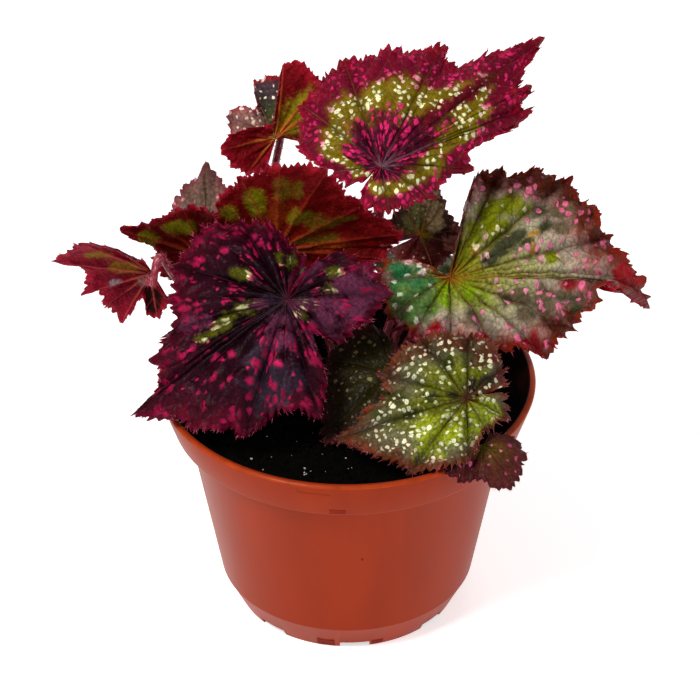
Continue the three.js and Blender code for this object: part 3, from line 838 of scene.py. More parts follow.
# %% The large right leaf
LEAVES["leaf_right_large"] = dict(
    junction=(40, 14, 138), heading=5, slope=-7, roll=34,
    tooth=2.4, notch=0.05, pillow=1.6, ruffle=1.2, arch=1.5,
    main=(2, 3, 4, 5, 6, 7, 8, 11, 14, 16, 18), rib=7, blister=0.8, pleat=2.8, crumple=1.3, crisp=2,
    veins=[(-207, 12, 1), (-200, 26, -1), (-180, 29, -3), (-147, 29, -6), (-121, 28, -8),
           (-86, 26, -8), (-51, 35, -8), (-32, 50, -10), (-15, 56, -10), (-3, 64, -10),
           (3, 67, -2), (5, 92, -32), (8, 85, -15), (13, 77, -6), (19, 72, 0), (30, 71, 2),
           (43, 69, 4), (54, 61, 4), (66, 53, 6), (76, 47, 6), (80, 15, 2)],
    stalk=(2.2, [(14, 5, 93), (26, 11, 112), (36, 14, 128)]))
LOOKS["leaf_right_large"] = (dict(
    BASE, wander=0.35, star=(0.04, 4),
    zones=[(0, "9aa210"), (0.12, "a4a228"), (0.26, "b8b45c"), (0.42, "beba7a"), (0.58, "c0b49a"),
           (0.7, "bc9e8c"), (0.8, "a6766c"), (0.88, "7c4036"), (0.95, "661e16"), (1, "781208")],
    net=("3c3a20", 0.28), rib=("3c381c", 0.4),
    vein=([(0, "d8881c"), (0.2, "c8983c"), (0.5, "b89040"), (0.72, "8a4a34"), (0.86, "8c0c1c"),
           (1, "8c0618")], 1.1, 0.7),
    spots=[dict(cell=4.4, size=(1.1, 2.3), amount=0.8, rare=1.1, cluster=(16, 15, 0.44), dull=0.8,
                on_patch={0: "f4ecb8", 1: "e8f8e0", 6: "ecf4d0"},
                where=[(0.18, OFF), (0.26, ON), (0.88, ON), (0.95, "202020")],
                colours=[(0, "f4e4b4"), (0.4, "f8a0b8"), (0.8, "e0688c")])],
    margin=("84180c", 3.5, 0.9), blend=0.24,
    # the fifth patch colour, dark grey-green, is painted shadow in the folds
    patches=("88900c", "287444", "52180c", "94061c", "40422c", "b88c34", "5c8440", "94b810",
             "645640"),
    specular=0.05, valley_shade=0.58, contrast=0.42, bump=1),
    dict(RED_UNDER, specular=0))
PATCHES["leaf_right_large"] = (
    [(64, 12, 5), (62, 22, 6), (60, 32, 7), (53, 40, 6), (47, 28, 6), (46, 43, 4), (71, 8, 4),
     (16, 43, 4)],
    [(-189, 18, 6), (-158, 12, 6), (-167, 20, 5), (144, 6, 3)],
    [(68, 46, 6), (56, 52, 6), (47, 60, 7), (37, 63, 6), (28, 66, 5), (20, 66, 5),
     (-18, 49, 6), (-11, 54, 4)],
    [(9, 72, 2), (8, 77, 6), (4, 82, 5), (3, 90, 6), (2, 98, 6), (1, 105, 6),
     (1, 49, 3), (-122, 25, 3), (-106, 22, 3), (-55, 27, 3),
     (-31, 43, 4), (-35, 40, 3)],
    # painted shadow in the folds
    [(28, 18, 3), (32, 24, 4), (35, 28, 5), (34, 33, 4), (28, 34, 3), (39, 49, 4), (32, 46, 4),
     (-4, 47, 3), (-4, 52, 4), (-7, 56, 3)],
    [(31, 40, 2), (22, 37, 1.8), (48, 15, 1.5)],
    [(-156, 22, 5), (-140, 18, 7), (-122, 14, 5)],
    [(-104, 7, 5), (-36, 11, 6)],
    [(-7, 40, 6), (-10, 32, 5), (-16, 25, 4), (-22, 34, 4), (-57, 18, 4), (34, 56, 4), (28, 52, 4)])
print("leaf_right_large:", len(PATCHES["leaf_right_large"]), "kinds of patches")

# %% [markdown]
# Two leaves lie over the front of the rim: one speckled all over with cream rings on
# lime and grey-green, and a small brown one with a few pink spots.

# %% The two front leaves
LEAVES["leaf_front_speckled"] = dict(
    junction=(46, -40, 118), heading=-170, slope=-10, roll=-27,
    tooth=1.8, notch=0.06, pillow=1.2, ruffle=0.8, arch=1,
    main=(1, 3, 5, 7, 10, 12, 14, 15, 16), rib=5.5, blister=0.55, pleat=1.6, crumple=0.5, crisp=1,
    veins=[(-174, 17, 0), (-151, 21, -1), (-129, 27, 0), (-107, 29, 2), (-88, 30, 3),
           (-71, 33, 3), (-54, 35, 2), (-35, 37, 0), (-19, 33, -1), (-10, 41, -3), (0, 54, -6),
           (14, 45, -3), (39, 38, -2), (57, 33, 1), (78, 27, 2), (105, 17, 1), (145, 18, -4),
           (180, 16, -2)],
    stalk=(1.7, [(18, 3, 93), (32, -12, 97), (42, -30, 107)]))
LOOKS["leaf_front_speckled"] = (dict(
    BASE, wander=0.35, star=(-0.1, 4), valley_shade=0.5,
    zones=[(0, "686008"), (0.12, "6c7408"), (0.4, "80840c"), (0.55, "6c6c28"), (0.72, "686444"),
           (0.86, "604830"), (0.94, "602c18"), (1, "78341c")],
    net=("28340a", 0.45), rib=("48480f", 0.4),
    vein=([(0, "5a2410"), (0.2, "8a5a24"), (0.6, "505024"), (1, "6a3a20")], 1, 0.75),
    spots=[dict(cell=2.7, size=(0.75, 1.35), amount=0.85, ring=0.5, rare=1.2, cluster=(20, 10, 0.54),
                where=[(0.15, OFF), (0.25, ON), (0.84, ON), (0.94, "303030")],
                colours=[(0, "f0f098"), (0.62, "f0f4cc"), (0.85, "f0dcb8"), (1, "d88a80")])],
    margin=("6c2410", 2.4, 0.8), blend=0.2, specular=0.16,
    # the fifth patch colour, darker olive, is partly the leaf's own dark green, partly painted shade
    patches=("26100c", "60041a", "98a414", "50200e", "383a06")), RED_UNDER)
PATCHES["leaf_front_speckled"] = (
    [(-123, 6, 3), (-153, 10, 4), (-141, 3, 3), (-31, 5, 2)],
    [(-137, 22, 4), (-156, 19, 4), (-178, 15, 3), (-125, 25, 3), (-114, 26, 3)],
    [(-34, 14, 3), (73, 14, 6), (19, 20, 4), (141, 9, 4), (97, 9, 5), (118, 10, 4), (50, 17, 7),
     (38, 25, 5)],
    [(-86, 26, 5), (-66, 28, 5), (-100, 25, 5), (-51, 30, 4), (-122, 19, 5), (27, 40, 4), (-40, 34, 4)],
    # partly the leaf's own dark green, partly painted shade
    [(-17, 28, 4), (-18, 14, 3), (2, 22, 3), (-80, 17, 3), (-6, 35, 3)])
LEAVES["leaf_front_small"] = dict(
    junction=(52, -53, 106), heading=-97, slope=-25, roll=-18,
    tooth=1.3, notch=0.04, pillow=0.6, ruffle=0.4, arch=0.4,
    main=(2, 4, 6, 8), rib=5, blister=0.3, pleat=0.7, crumple=0.25, crisp=0.5,
    veins=[(-68, 8, 0), (-56, 18, -2), (-44, 20, -2), (-20, 18, -4), (0, 15, -1), (27, 18, -4),
           (54, 20, -4), (90, 19, -3), (119, 15, -1), (159, 7, 0)],
    stalk=(1.3, [(12, -1, 93), (27, -25, 96), (44, -43, 104)]))
LOOKS["leaf_front_small"] = (dict(
    BASE, star=(-0.12, 3), wander=0.4, valley_shade=0.8,
    zones=[(0, "5c580c"), (0.2, "60500c"), (0.42, "603c18"), (0.6, "58281c"), (1, "501a1c")],
    net=("2c100c", 0.3), rib=("5c3424", 0.35), vein=([(0, "7a6a1c"), (1, "6a3430")], 0.7, 0.6),
    spots=[dict(cell=3.6, size=(0.5, 1.4), amount=0.35, ring=0.6,
                where=[(0.2, OFF), (0.3, ON), (0.9, ON), (0.96, OFF)],
                colours=[(0, "e0a8a0"), (0.5, "d0588c"), (1, "b83c60")])],
    margin=("4a0c14", 1, 0.8), patches=("3a0608",)), RED_UNDER)
PATCHES["leaf_front_small"] = ([(-56, 14, 6), (-44, 17, 6), (-20, 14, 5)],)
print("front leaves: junctions at", [LEAVES[name]["junction"] for name in list(LEAVES)[-2:]])

# %% [markdown]
# The purple leaf on the left is nearly black. Its magenta spots are drawn out along the
# rays, small ones in clusters and a few large ones, and they turn cream on its olive
# places.

# %% The purple leaf
LEAVES["leaf_left_purple"] = dict(
    junction=(-23, -15, 147), heading=-159, slope=-26, roll=-31,
    tooth=2.4, notch=0.05, pillow=1.6, ruffle=1.2, arch=1.5,
    main=(1, 3, 5, 8, 12, 15, 17, 20, 22, 24), rib=7, blister=0.6, pleat=2.2, crumple=0.6, crisp=1.4,
    veins=[(-144, 20, -2), (-128, 24, -3), (-110, 35, -4), (-93, 42, -5), (-77, 50, -6),
           (-55, 52, -6), (-38, 50, -6), (-27, 47, -5), (-21, 52, -5), (-11, 58, -4), (-5, 58, -5),
           (-2, 61, -6), (1, 76, -8), (6, 71, -8), (21, 62, -8),
           (39, 55, -10), (57, 44, -6), (72, 47, -10), (85, 33, -8), (94, 18, -5), (113, 26, -9),
           (136, 33, -10), (154, 40, -9), (172, 36, -6), (192, 31, -4), (210, 19, -2)],
    stalk=(2.2, [(-9, 0, 94), (-15, -7, 115), (-21, -13, 135)]))
LOOKS["leaf_left_purple"] = (dict(
    BASE, wander=0.3, valley_shade=0.75, specular=0.06, bump=0.35,
    zones=[(0, "140208"), (0.4, "1c020c"), (0.7, "2c0414"), (0.88, "400618"), (1, "58081a")],
    net=("0a0208", 0.35), rib=("30142a", 0.3),
    vein=([(0, "4c3444"), (0.5, "40283a"), (1, "4c142c")], 0.9, 0.6),
    spots=[dict(cell=2.6, size=(0.9, 1.9), amount=0.75, rare=1.2, cluster=(13, 17, 0.4),
                drawn=(0.62, 0.45), dull=0.4, ring=1.2, core=0.1, on_patch={0: CREAM},
                where=[(0.16, OFF), (0.26, ON), (0.94, ON), (0.98, "303030")],
                colours=[(0, "c01c58"), (0.6, "a8144a"), (1, "8c0c3a")]),
           dict(cell=6.5, size=(0.8, 3.2), amount=0.5, ring=1.1, dull=0.6, core=0.2, on_patch={0: CREAM},
                where=[(0.3, OFF), (0.38, ON), (0.9, ON), (0.96, OFF)],
                colours=[(0, "bc1c54"), (0.7, "a4164a"), (1, "8c0c3a")])],
    # the grey and the plum patch colours are painted sheen on the near-black skin
    margin=("640428", 3, 0.85), blend=0.2, patches=("4c4c04", "2a1c2a", "5c2640")), RED_UNDER)
PATCHES["leaf_left_purple"] = (
    [(-128, 16, 3), (178, 22, 3), (162, 18, 3), (136, 8, 3), (104, 7, 3), (-22, 15, 4), (-14, 25, 4),
     (-64, 22, 3), (-9, 34, 3), (-112, 18, 2)],
    # painted sheen, grey
    [(-36, 8, 3), (45, 34, 10), (35, 25, 6), (53, 36, 6), (66, 31, 4)],
    # painted sheen, plum
    [(143, 23, 7), (158, 30, 7), (160, 23, 6), (94, 20, 4), (119, 18, 5), (134, 10, 4), (105, 5, 3),
     (200, 15, 4), (73, 10, 4), (67, 17, 4), (43, 17, 4), (33, 10, 4), (-24, 12, 3), (-19, 34, 4),
     (-23, 41, 4)])
print("leaf_left_purple:", len(LEAVES["leaf_left_purple"]["veins"]), "rays")

# %% [markdown]
# Three leaves on the left are turned so steeply that mostly their red undersides show,
# with olive windows. The farthest is a duller crimson with grey places, and its basal
# lobe is painted near black as shade.

# %% Three leaves seen from below
LEAVES["leaf_back_red"] = dict(
    junction=(-28, 30, 141), heading=-4, slope=11, roll=-78,
    tooth=1.8, notch=0.04, pillow=1, ruffle=0.8, arch=1,
    main=(1, 2, 3, 4, 5, 6, 7, 9), rib=7, blister=0.5, pleat=1.1, crumple=0.4, crisp=1,
    veins=[(-202, 18, 0), (-148, 26, 0), (-116, 38, -2), (-95, 47, -4), (-76, 52, -4),
           (-55, 53, -3), (-26, 45, 0), (1, 52, 3), (9, 49, 3), (17, 43, 2), (48, 26, 0)],
    stalk=(2, [(-12, 7, 95), (-20, 19, 112), (-26, 28, 128)]))
LOOKS["leaf_back_red"] = (PURPLE_TOP, RED_UNDER)
PATCHES["leaf_back_red"] = (
    [(-119, 28, 4), (-93, 31, 5), (-96, 26, 5), (-55, 20, 4), (-46, 23, 3), (-74, 32, 3)],
    [(-76, 23, 6), (-87, 15, 5), (6, 26, 4), (8, 20, 4)],
    [(-74, 38, 4), (-72, 33, 4), (-65, 38, 3), (-63, 33, 3), (-27, 22, 4), (-23, 28, 4), (-36, 22, 4),
     (-15, 12, 3), (-7, 17, 3), (-5, 22, 3), (-20, 34, 3)])
LEAVES["leaf_left_red"] = dict(
    junction=(-56, 33, 136), heading=-149, slope=35, roll=75,
    tooth=1.4, notch=0.04, pillow=0.8, ruffle=0.6, arch=0.8,
    main=(1, 4, 5, 6, 7, 8), rib=6, blister=0.4, pleat=0.9, crumple=0.4, crisp=0.8,
    veins=[(-82, 18, 0), (-48, 20, 0), (-25, 24, 0), (-8, 26, 0), (0, 48, -2), (14, 39, -2),
           (33, 38, -3), (54, 29, -3), (82, 14, -1), (150, 8, 0)],
    stalk=(1.6, [(-21, 9.5, 93), (-37, 21, 107), (-52, 31, 124)]))
LOOKS["leaf_left_red"] = (PURPLE_TOP, RED_UNDER)
PATCHES["leaf_left_red"] = ([(0, 32, 4), (18, 27, 4), (23, 25, 4), (29, 22, 4)],)
LEAVES["leaf_far_left"] = dict(
    junction=(-76, 6, 146), heading=-155, slope=13, roll=76,
    tooth=1.4, notch=0.05, pillow=0.8, ruffle=0.5, arch=0.6,
    main=(1, 4, 5, 7, 9, 10, 11), rib=6, blister=0.5, pleat=1.4, crumple=0.4, crisp=0.7,
    veins=[(-132, 10, -8), (-105, 19, -8), (-93, 18, -5), (-80, 12, -2), (-76, 26, 0),
           (-51, 24, 2), (-28, 23, 2), (-25, 29, 3), (4, 30, 3), (7, 43, 4), (28, 43, -2),
           (39, 31, -5), (54, 12, -3)],
    stalk=(1.5, [(-22, 5, 92), (-45, 9, 110), (-66, 12, 138), (-73, 7, 153)]))
LOOKS["leaf_far_left"] = (PURPLE_TOP, dict(
    RED_UNDER, zones=[(0, "5a0810"), (0.4, "660418"), (0.8, "780820"), (1, "8c1c34")],
    vein=([(0, "b05038"), (0.6, "a83c38"), (1, "a83440")], 0.8, 0.75), rib=("8c2030", 0.35),
    # the near-black patch colour is painted shade on the basal lobe
    patches=("70500c", "7c7078", "1c0404")))
PATCHES["leaf_far_left"] = (
    [(20, 31, 3), (23, 28, 4), (12, 15, 4), (17, 11, 4)],
    [(-23, 15, 2), (-63, 4, 3), (-127, 3, 3)],
    # painted shade on the basal lobe
    [(-102, 12, 6), (-124, 7, 5), (-106, 16, 5)])
print("steep leaves rolled by", [LEAVES[name]["roll"] for name in list(LEAVES)[-3:]], "degrees")

# %% [markdown]
# Behind them stand three small leaves: a grey-pink one, a young one that is still folded
# into two fans, dark inside and red outside, and an olive-brown one between the top leaf
# and the right one.

# %% Three small leaves at the back
LEAVES["leaf_back_left"] = dict(
    junction=(-56, 41, 146), heading=92, slope=42, roll=-19,
    tooth=1.2, notch=0.04, pillow=0.7, ruffle=0.6, arch=0.6,
    main=(1, 2, 4, 6, 7), rib=5, blister=0.5, pleat=1, crumple=0.5, crisp=0.8,
    veins=[(-142, 10, -2), (-91, 13, -4), (-47, 17, -4), (-15, 21, -3), (0, 27, 0), (7, 22, 1),
           (28, 21, 0), (69, 18, 0), (108, 14, 0)],
    stalk=(1.5, [(-17, 13.5, 94), (-36, 35, 113), (-51, 43, 134)]))
LOOKS["leaf_back_left"] = (dict(
    BASE, zones=[(0, "6a6440"), (0.3, "7c6858"), (0.8, "805850"), (1, "7a3a40")],
    net=("4a2c2c", 0.4), rib=("5a403c", 0.4), vein=([(0, "8a7a50"), (1, "7a4440")], 0.9, 0.7),
    spots=[dict(cell=4.6, size=(0.5, 1.2), amount=0.4, ring=0.6,
                colours=[(0, "d8a8a0"), (1, "d07c90")])],
    margin=("7c2c34", 1.5, 0.7)), RED_UNDER)
LEAVES["leaf_top_left_curled"] = dict(
    junction=(-28, 44, 185), heading=112, slope=33, roll=-40,
    tooth=1, notch=0.05, pillow=0.7, ruffle=0.6, arch=0.5,
    main=(1, 3, 7), rib=5, blister=0.4, pleat=1, crumple=0.5, crisp=0.9,
    veins=[(-51, 13, 0), (-34, 25, 2), (-15, 25, 4), (1, 24, 4), (5, 16, 3), (12, 14, 3),
           (24, 21, 2), (44, 24, 2), (61, 21, 0)],
    other_fans=[dict(
        heading=59, slope=77, roll=-155, main=(1, 3, 9, 11, 12),
        veins=[(-171, 15, -1), (-148, 19, -3), (-130, 21, -4), (-108, 22, -4), (-92, 19, -4),
               (-72, 12, -3), (-45, 7, -2), (-12, 8, -2), (-3, 20, -2), (0, 32, -2),
               (13, 35, -3), (29, 31, -3), (45, 20, -1), (91, 11, 0)])],
    stalk=(1.5, [(-11, 14, 93), (-22, 35, 122), (-29, 44, 160)]))
LOOKS["leaf_top_left_curled"] = (dict(
    BASE, zones=[(0, "4c5a0c"), (0.3, "46501c"), (0.6, "3c3430"), (0.85, "48303a"), (1, "7a1420")],
    net=("1c1414", 0.35), rib=("30281c", 0.35), vein=([(0, "a88a50"), (1, "7a4a4c")], 0.9, 0.7),
    spots=[dict(cell=2.8, size=(0.5, 1.25), amount=0.6,
                colours=[(0, "f0ecc0"), (1, "f0d0c8")])],
    margin=("94101c", 2, 0.85), patches=("94605c",)), dict(
    RED_UNDER, zones=[(0, "7a2c0c"), (0.3, "66080a"), (0.7, "68040e"), (1, "8a0c1c")],
    vein=([(0, "d07a2c"), (0.5, "b04c1c"), (1, "a02030")], 1.2, 0.85), patches=(OLIVE,)))
PATCHES["leaf_top_left_curled"] = ([(44, 16, 10), (61, 16, 6)],)
LEAVES["leaf_back_right"] = dict(
    junction=(29, 34, 146), heading=67, slope=37, roll=21,
    tooth=1, notch=0.05, pillow=0.7, ruffle=0.6, arch=-0.6,
    main=(2, 4, 5, 7, 8, 11, 12), rib=5, blister=0.5, pleat=1, crumple=0.5, crisp=0.8,
    veins=[(-228, 14, -1), (-188, 15, -3), (-137, 15, -4), (-101, 15, -4), (-80, 18, -5),
           (-59, 19, -3), (-39, 16, 0), (-17, 18, 1), (0, 23, 1), (7, 20, 0), (18, 16, 0),
           (52, 14, 0), (87, 15, -1), (126, 17, -2)],
    stalk=(1.5, [(10, 12, 95), (19, 26, 115), (27, 33, 134)]))
LOOKS["leaf_back_right"] = (dict(
    BASE, zones=[(0, "5a500c"), (0.4, "4c3c20"), (0.75, "54342a"), (1, "64302f")],
    net=("2c1c10", 0.4), rib=("4a3420", 0.4), vein=([(0, "b8801c"), (1, "7c4424")], 1, 0.8),
    spots=[dict(cell=4.6, size=(0.4, 1.1), amount=0.35,
                colours=[(0, "d8c890"), (1, "b86c6c")])],
    # the last two patch colours are the leaf's pale olive and pinkish brown made lighter: painted light
    # where the top leaf shades it
    margin=("74303a", 1.5, 0.8), patches=("747040", "2c0c24", "500c10", "b49c70", "b4746c")), RED_UNDER)
PATCHES["leaf_back_right"] = (
    [(30, 10, 6), (60, 7, 4)],
    [(-64, 10, 4)],
    [(-188, 8, 6), (-137, 10, 6), (-101, 10, 5)],
    # painted light: the leaf's pale olive made lighter where the top leaf shades it
    [(0, 16, 5), (-14, 12, 5), (-38, 8, 3.5)],
    # painted light: the leaf's pinkish brown made lighter where the top leaf shades it
    [(-53, 16, 4), (-79, 14, 4)])
print("small leaves:", list(LEAVES)[-3:])

# %% [markdown]
# One dark leaf lies low in the shade between the front ones; its dark green and dull
# spots are partly its own colour, partly painted shade. The photograph shows nothing of
# the back, so two plain lower leaves stand in for what grows there.

# %% The low leaf and the rear ones
LEAVES["leaf_low_shaded"] = dict(
    junction=(18, -18, 115), heading=-146, slope=-22, roll=-18,
    tooth=1.6, notch=0.05, pillow=0.8, ruffle=0.6, arch=0.8,
    main=(1, 3, 5, 7, 8), rib=6, blister=0.5, pleat=1.2, crumple=0.4, crisp=0.8,
    veins=[(-138, 14, 0), (-111, 24, 0), (-88, 29, -2), (-61, 30, -4), (-30, 30, -5), (0, 38, -8),
           (22, 33, -5), (49, 31, -3), (73, 22, -2), (108, 15, 0)],
    stalk=(1.5, [(7, 0, 93), (11, -8, 102), (16, -15, 110)]))
# dark green and dull spots: partly the leaf's own colour, partly painted shade
LOOKS["leaf_low_shaded"] = (dict(
    BASE, zones=[(0, "2e2a08"), (0.6, "28200c"), (0.85, "301812"), (1, "481414")],
    net=("12160a", 0.4), rib=("242808", 0.4), vein=([(0, "5c4c14"), (1, "3c2814")], 0.9, 0.7),
    spots=[dict(cell=3.4, size=(0.5, 1.3), amount=0.5, ring=0.5,
                colours=[(0, "8a8c50"), (1, "8a7050")])],
    margin=("541c1c", 2, 0.8)), RED_UNDER)
LEAVES["leaf_rear_left"] = dict(
    junction=(-16, 52, 118), heading=104, slope=-18, roll=0,
    tooth=1.8, notch=0.05, pillow=1, ruffle=0.8, arch=1,
    main=(1, 2, 3, 4, 5, 6, 7), rib=6, blister=0.5, pleat=1.4, crumple=0.5, crisp=1,
    veins=[(-160, 12, 0), (-115, 22, -2), (-70, 29, -3), (-32, 34, -4), (0, 46, -6), (34, 36, -4),
           (72, 31, -3), (118, 25, -1), (165, 14, 0)],
    stalk=(1.6, [(-4, 13, 94), (-8, 29, 102), (-13, 44, 112)]))
LOOKS["leaf_rear_left"] = (PURPLE_TOP, RED_UNDER)
LEAVES["leaf_rear_right"] = dict(
    junction=(32, 48, 116), heading=48, slope=-14, roll=6,
    tooth=1.8, notch=0.05, pillow=1, ruffle=0.8, arch=1,
    main=(1, 2, 3, 4, 5, 6, 7), rib=6, blister=0.5, pleat=1.4, crumple=0.5, crisp=1,
    veins=[(-160, 12, 0), (-118, 22, -2), (-72, 30, -3), (-34, 34, -4), (0, 45, -5), (32, 36, -4),
           (70, 30, -3), (115, 24, -2), (160, 13, 0)],
    stalk=(1.6, [(14, 11, 94), (20, 28, 102), (28, 43, 110)]))
LOOKS["leaf_rear_right"] = (dict(
    BASE, zones=[(0, "5c8010"), (0.3, "566834"), (0.65, "4c562a"), (0.85, "543428"), (1, "6c2418")],
    net=("242c14", 0.4), rib=("3c3c18", 0.4), vein=([(0, "a87c2c"), (1, "6c3424")], 1.1, 0.8),
    spots=[dict(cell=3.4, size=(0.5, 1.6), amount=0.6, cluster=(16, 14, 0.4),
                colours=[(0, "e0d8a8"), (1, "cc7c94")])],
    margin=("6c2014", 3, 0.85)), RED_UNDER)
print("leaves:", len(LEAVES), "with", 2 * len(LOOKS), "finishes")

# %% [markdown]
# ## Building the leaves
# Now each leaf is made: its grid is moved to its places, the points that meet at the
# junction are merged, and a Solidify modifier gives the blade its thickness, thinner at
# the margin, with the second finish underneath. A begonia leaf is hairy, most of all
# along its margin. A particle system could grow the hairs, but it leaves no faces of its
# own, so needles are set there and, more sparsely, just inside it. The two fans of the
# curled leaf become one piece.

# %% Patches and hairs of a blade
# a patch is longer along its ray than across it
PATCH_LONG, PATCH_WIDE = 0.75, 1.15
RIM_HAIRS, RIM_LENGTHS = 1.5, (0.6, 2.3)
INNER_HAIRS, INNER_LENGTHS, INNER_ZONE = 0.3, (0.5, 1.3), 0.12
# how far a root is sunk in the margin and stands off a face, in mm, and the share on the upper face
RIM_SUNK, OFF_FACE, UPPER_SHARE = 0.3, 0.2, 0.6
HAIR_SPREAD = 0.5


def patch_values(facts, circles):
    """How far inside its patches of one colour each point is: 1 in the middle, 0.5 at the rim."""
    inside = np.zeros(facts["flat_x"].shape)
    for angle, distance, radius in circles:
        turn = math.radians(angle)
        out = facts["flat_x"] * math.cos(turn) + facts["flat_y"] * math.sin(turn) - distance
        aside = facts["flat_y"] * math.cos(turn) - facts["flat_x"] * math.sin(turn)
        apart = np.hypot(PATCH_LONG * out, PATCH_WIDE * aside) / radius
        inside = np.maximum(inside, np.clip(1 - 0.5 * apart, 0, 1))
    return inside


def fringe_hairs(points, up):
    """Roots, ways and lengths of the hairs along the level margin, and of fewer just inside it."""
    rim, inner = points[-1], points[-4]
    out = rim - inner
    out /= np.linalg.norm(out, axis=1, keepdims=True) + 1e-9
    level = 1 - np.abs(out[:-1] @ up)
    stretch = np.linalg.norm(np.diff(rim, axis=0), axis=1) * level
    picks = rng.choice(len(stretch), int(RIM_HAIRS * stretch.sum()), p=stretch / stretch.sum())
    roots = [rim[picks] - RIM_SUNK * out[picks]]
    ways = [out[picks] + rng.normal(scale=HAIR_SPREAD, size=(len(picks), 3))]
    lengths = [rng.uniform(*RIM_LENGTHS, len(picks))]
    rows, columns = points.shape[:2]
    count = int(columns * INNER_HAIRS)
    j = (rows * (1 - rng.uniform(0, INNER_ZONE, count))).astype(int).clip(0, rows - 1)
    i = rng.integers(0, columns, count)
    face = np.where(rng.uniform(size=(count, 1)) < UPPER_SHARE, 1, -1)
    roots.append(points[j, i] + OFF_FACE * face * up)
    ways.append(face * up + rng.normal(scale=HAIR_SPREAD, size=(count, 3)))
    lengths.append(rng.uniform(*INNER_LENGTHS, count))
    return np.concatenate(roots), np.concatenate(ways), np.concatenate(lengths)


print("margin hairs:", RIM_HAIRS, "a mm")

# %% One fan of a blade
BLADE = 0.7
ROW, FINE_FROM = 1, 0.8
# the share of its thickness that a blade has at the margin, and the mm in which it gains a whole one
THIN_EDGE, THICKENS_OVER = 0.4, 8


def apply_modifier(piece, name, kind, **settings):
    """Gives the active piece a modifier with its settings, and applies it."""
    modifier = piece.modifiers.new(name, kind)
    for key, value in settings.items():
        setattr(modifier, key, value)
    bpy.ops.object.modifier_apply(modifier=modifier.name)


def build_fan(name, fan, skins):
    """One fan of a leaf as a closed blade, and its hairs."""
    longest = max(ray[1] for ray in fan["veins"])
    rows = 2 * math.ceil(longest / ROW / 2) + 1
    points, facts = blade_surface(fan, columns_of(fan)[None, :], np.linspace(0, 1, rows)[:, None])
    shown = {key: facts[key] for key in FACTS}
    for k, circles in enumerate(PATCHES.get(name, ())):
        shown[f"patch_{k}"] = patch_values(facts, circles)
    flat = np.stack([facts["flat_x"], facts["flat_y"]], -1)
    piece, i, j = shaped_grid(name + "_blade", points, flat, shown, FINE_FROM)
    thick = piece.vertex_groups.new(name="thick")
    tenths = np.clip(THIN_EDGE + facts["edge"][j, i] / THICKENS_OVER, 0, 1) * 10
    tenths = np.rint(tenths).astype(int)
    for tenth in np.unique(tenths):
        thick.add(np.flatnonzero(tenths == tenth).tolist(), tenth / 10, "REPLACE")
    close_seams(bpy.ops.mesh.flip_normals)
    for skin in skins:
        piece.data.materials.append(skin)
    apply_modifier(piece, "blade thickness", "SOLIDIFY", thickness=BLADE * MM, offset=0,
                   vertex_group="thick", material_offset=1)
    fringe = fringe_hairs(points, leaf_axes(fan)[2])
    return [piece, hairs(name + "_fringe", *fringe, FRINGE_WIDTH, hair)]


print("blade:", BLADE, "mm thick, at its margin", round(BLADE * THIN_EDGE, 2))

# %% All the blades
total = 0
for name, leaf in LEAVES.items():
    skins = [blade_finish(name + side, look)
             for side, look in zip(("_upper_skin", "_under_skin"), LOOKS[name])]
    pieces = [made for fan in fans_of(leaf) for made in build_fan(name, fan, skins)]
    piece = pieces[0]
    join(piece, pieces[1:])
    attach(piece, "root")
    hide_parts(name)
    triangles = sum(len(p.vertices) - 2 for p in piece.data.polygons)
    total += triangles
    print(name, triangles, "triangles")
print("all blades:", total, "triangles")

# %% [markdown]
# ## Leaf stalks
# The stalks are juicy, pinkish red and bristle with long pale hairs. Each rises from
# the crown and bends to its leaf. A curve with a round bevel would do, but it has no
# wider foot and no ridges. So a grid primitive is rolled into a tube round the smooth
# line that the solid follows, and its seam and ends are closed. Its bristles are copies
# of the same needle as the hairs of the blades.

# %% The skin of a stalk
# the streaks are 0.7 mm wide and 3.6 mm long
STREAK_STRETCH = (1.4, 0.28, 1)
skin, tree, shader = new_material("begonia_stalk_fresh_red_skin")
# thin wet-looking skin over pale flesh, with short light streaks along the stalk
along = add(tree, "ShaderNodeUVMap", uv_map="flat")["UV"]
stretched = add(tree, "ShaderNodeMapping", {"Vector": along, "Scale": STREAK_STRETCH})[0]
streaks = add(tree, NOISE, {"Vector": stretched, "Scale": 1, "Detail": 3}, noise_dimensions="2D")[0]
colour = add(tree, RAMP, {0: streaks},
             [(0.3, "6c1420"), (0.48, "94283a"), (0.6, "b04a58"), (0.68, "d89aa0")])[0]
bump = add(tree, "ShaderNodeBump", {"Height": streaks, "Strength": 0.5, "Distance": 0.3 * MM})[0]
dress(tree, shader, {"Base Color": colour, "Roughness": 0.38, "Normal": bump})
print("stalk finish:", skin.name)

# %% The line of a stalk
AHEAD, STRAIGHT_END, SHORT_OF, OVER_END = 1.5, 4, 0.85, 0.35


def stalk_line(leaf):
    """The radius and the knots of a stalk: its own, then a straight end just under the blade."""
    radius, path = leaf["stalk"]
    tip, _, up = leaf_axes(leaf)
    end = np.array(leaf["junction"], float) + AHEAD * tip - SHORT_OF * up
    return radius, np.array([*path, end - STRAIGHT_END * up, end + OVER_END * up], float)


print("a stalk ends", SHORT_OF - OVER_END, "mm under the flat blade")

# %% Build the stalks
STALK_SIDES, STALK_STEP = 14, 1.2
RIDGES, RIDGE_HEIGHT = 5, 0.05
BRISTLES, BRISTLE_LENGTHS = 7, (0.8, 2)
# where a bristle's root is, as a share of the radius, how far it leans up, and how far they spread
BRISTLE_ROOT, BRISTLE_LEAN, BRISTLE_SPREAD = 0.95, 0.25, 0.3


def unit(vectors):
    """The same directions, each of length 1."""
    return vectors / np.linalg.norm(vectors, axis=1, keepdims=True)


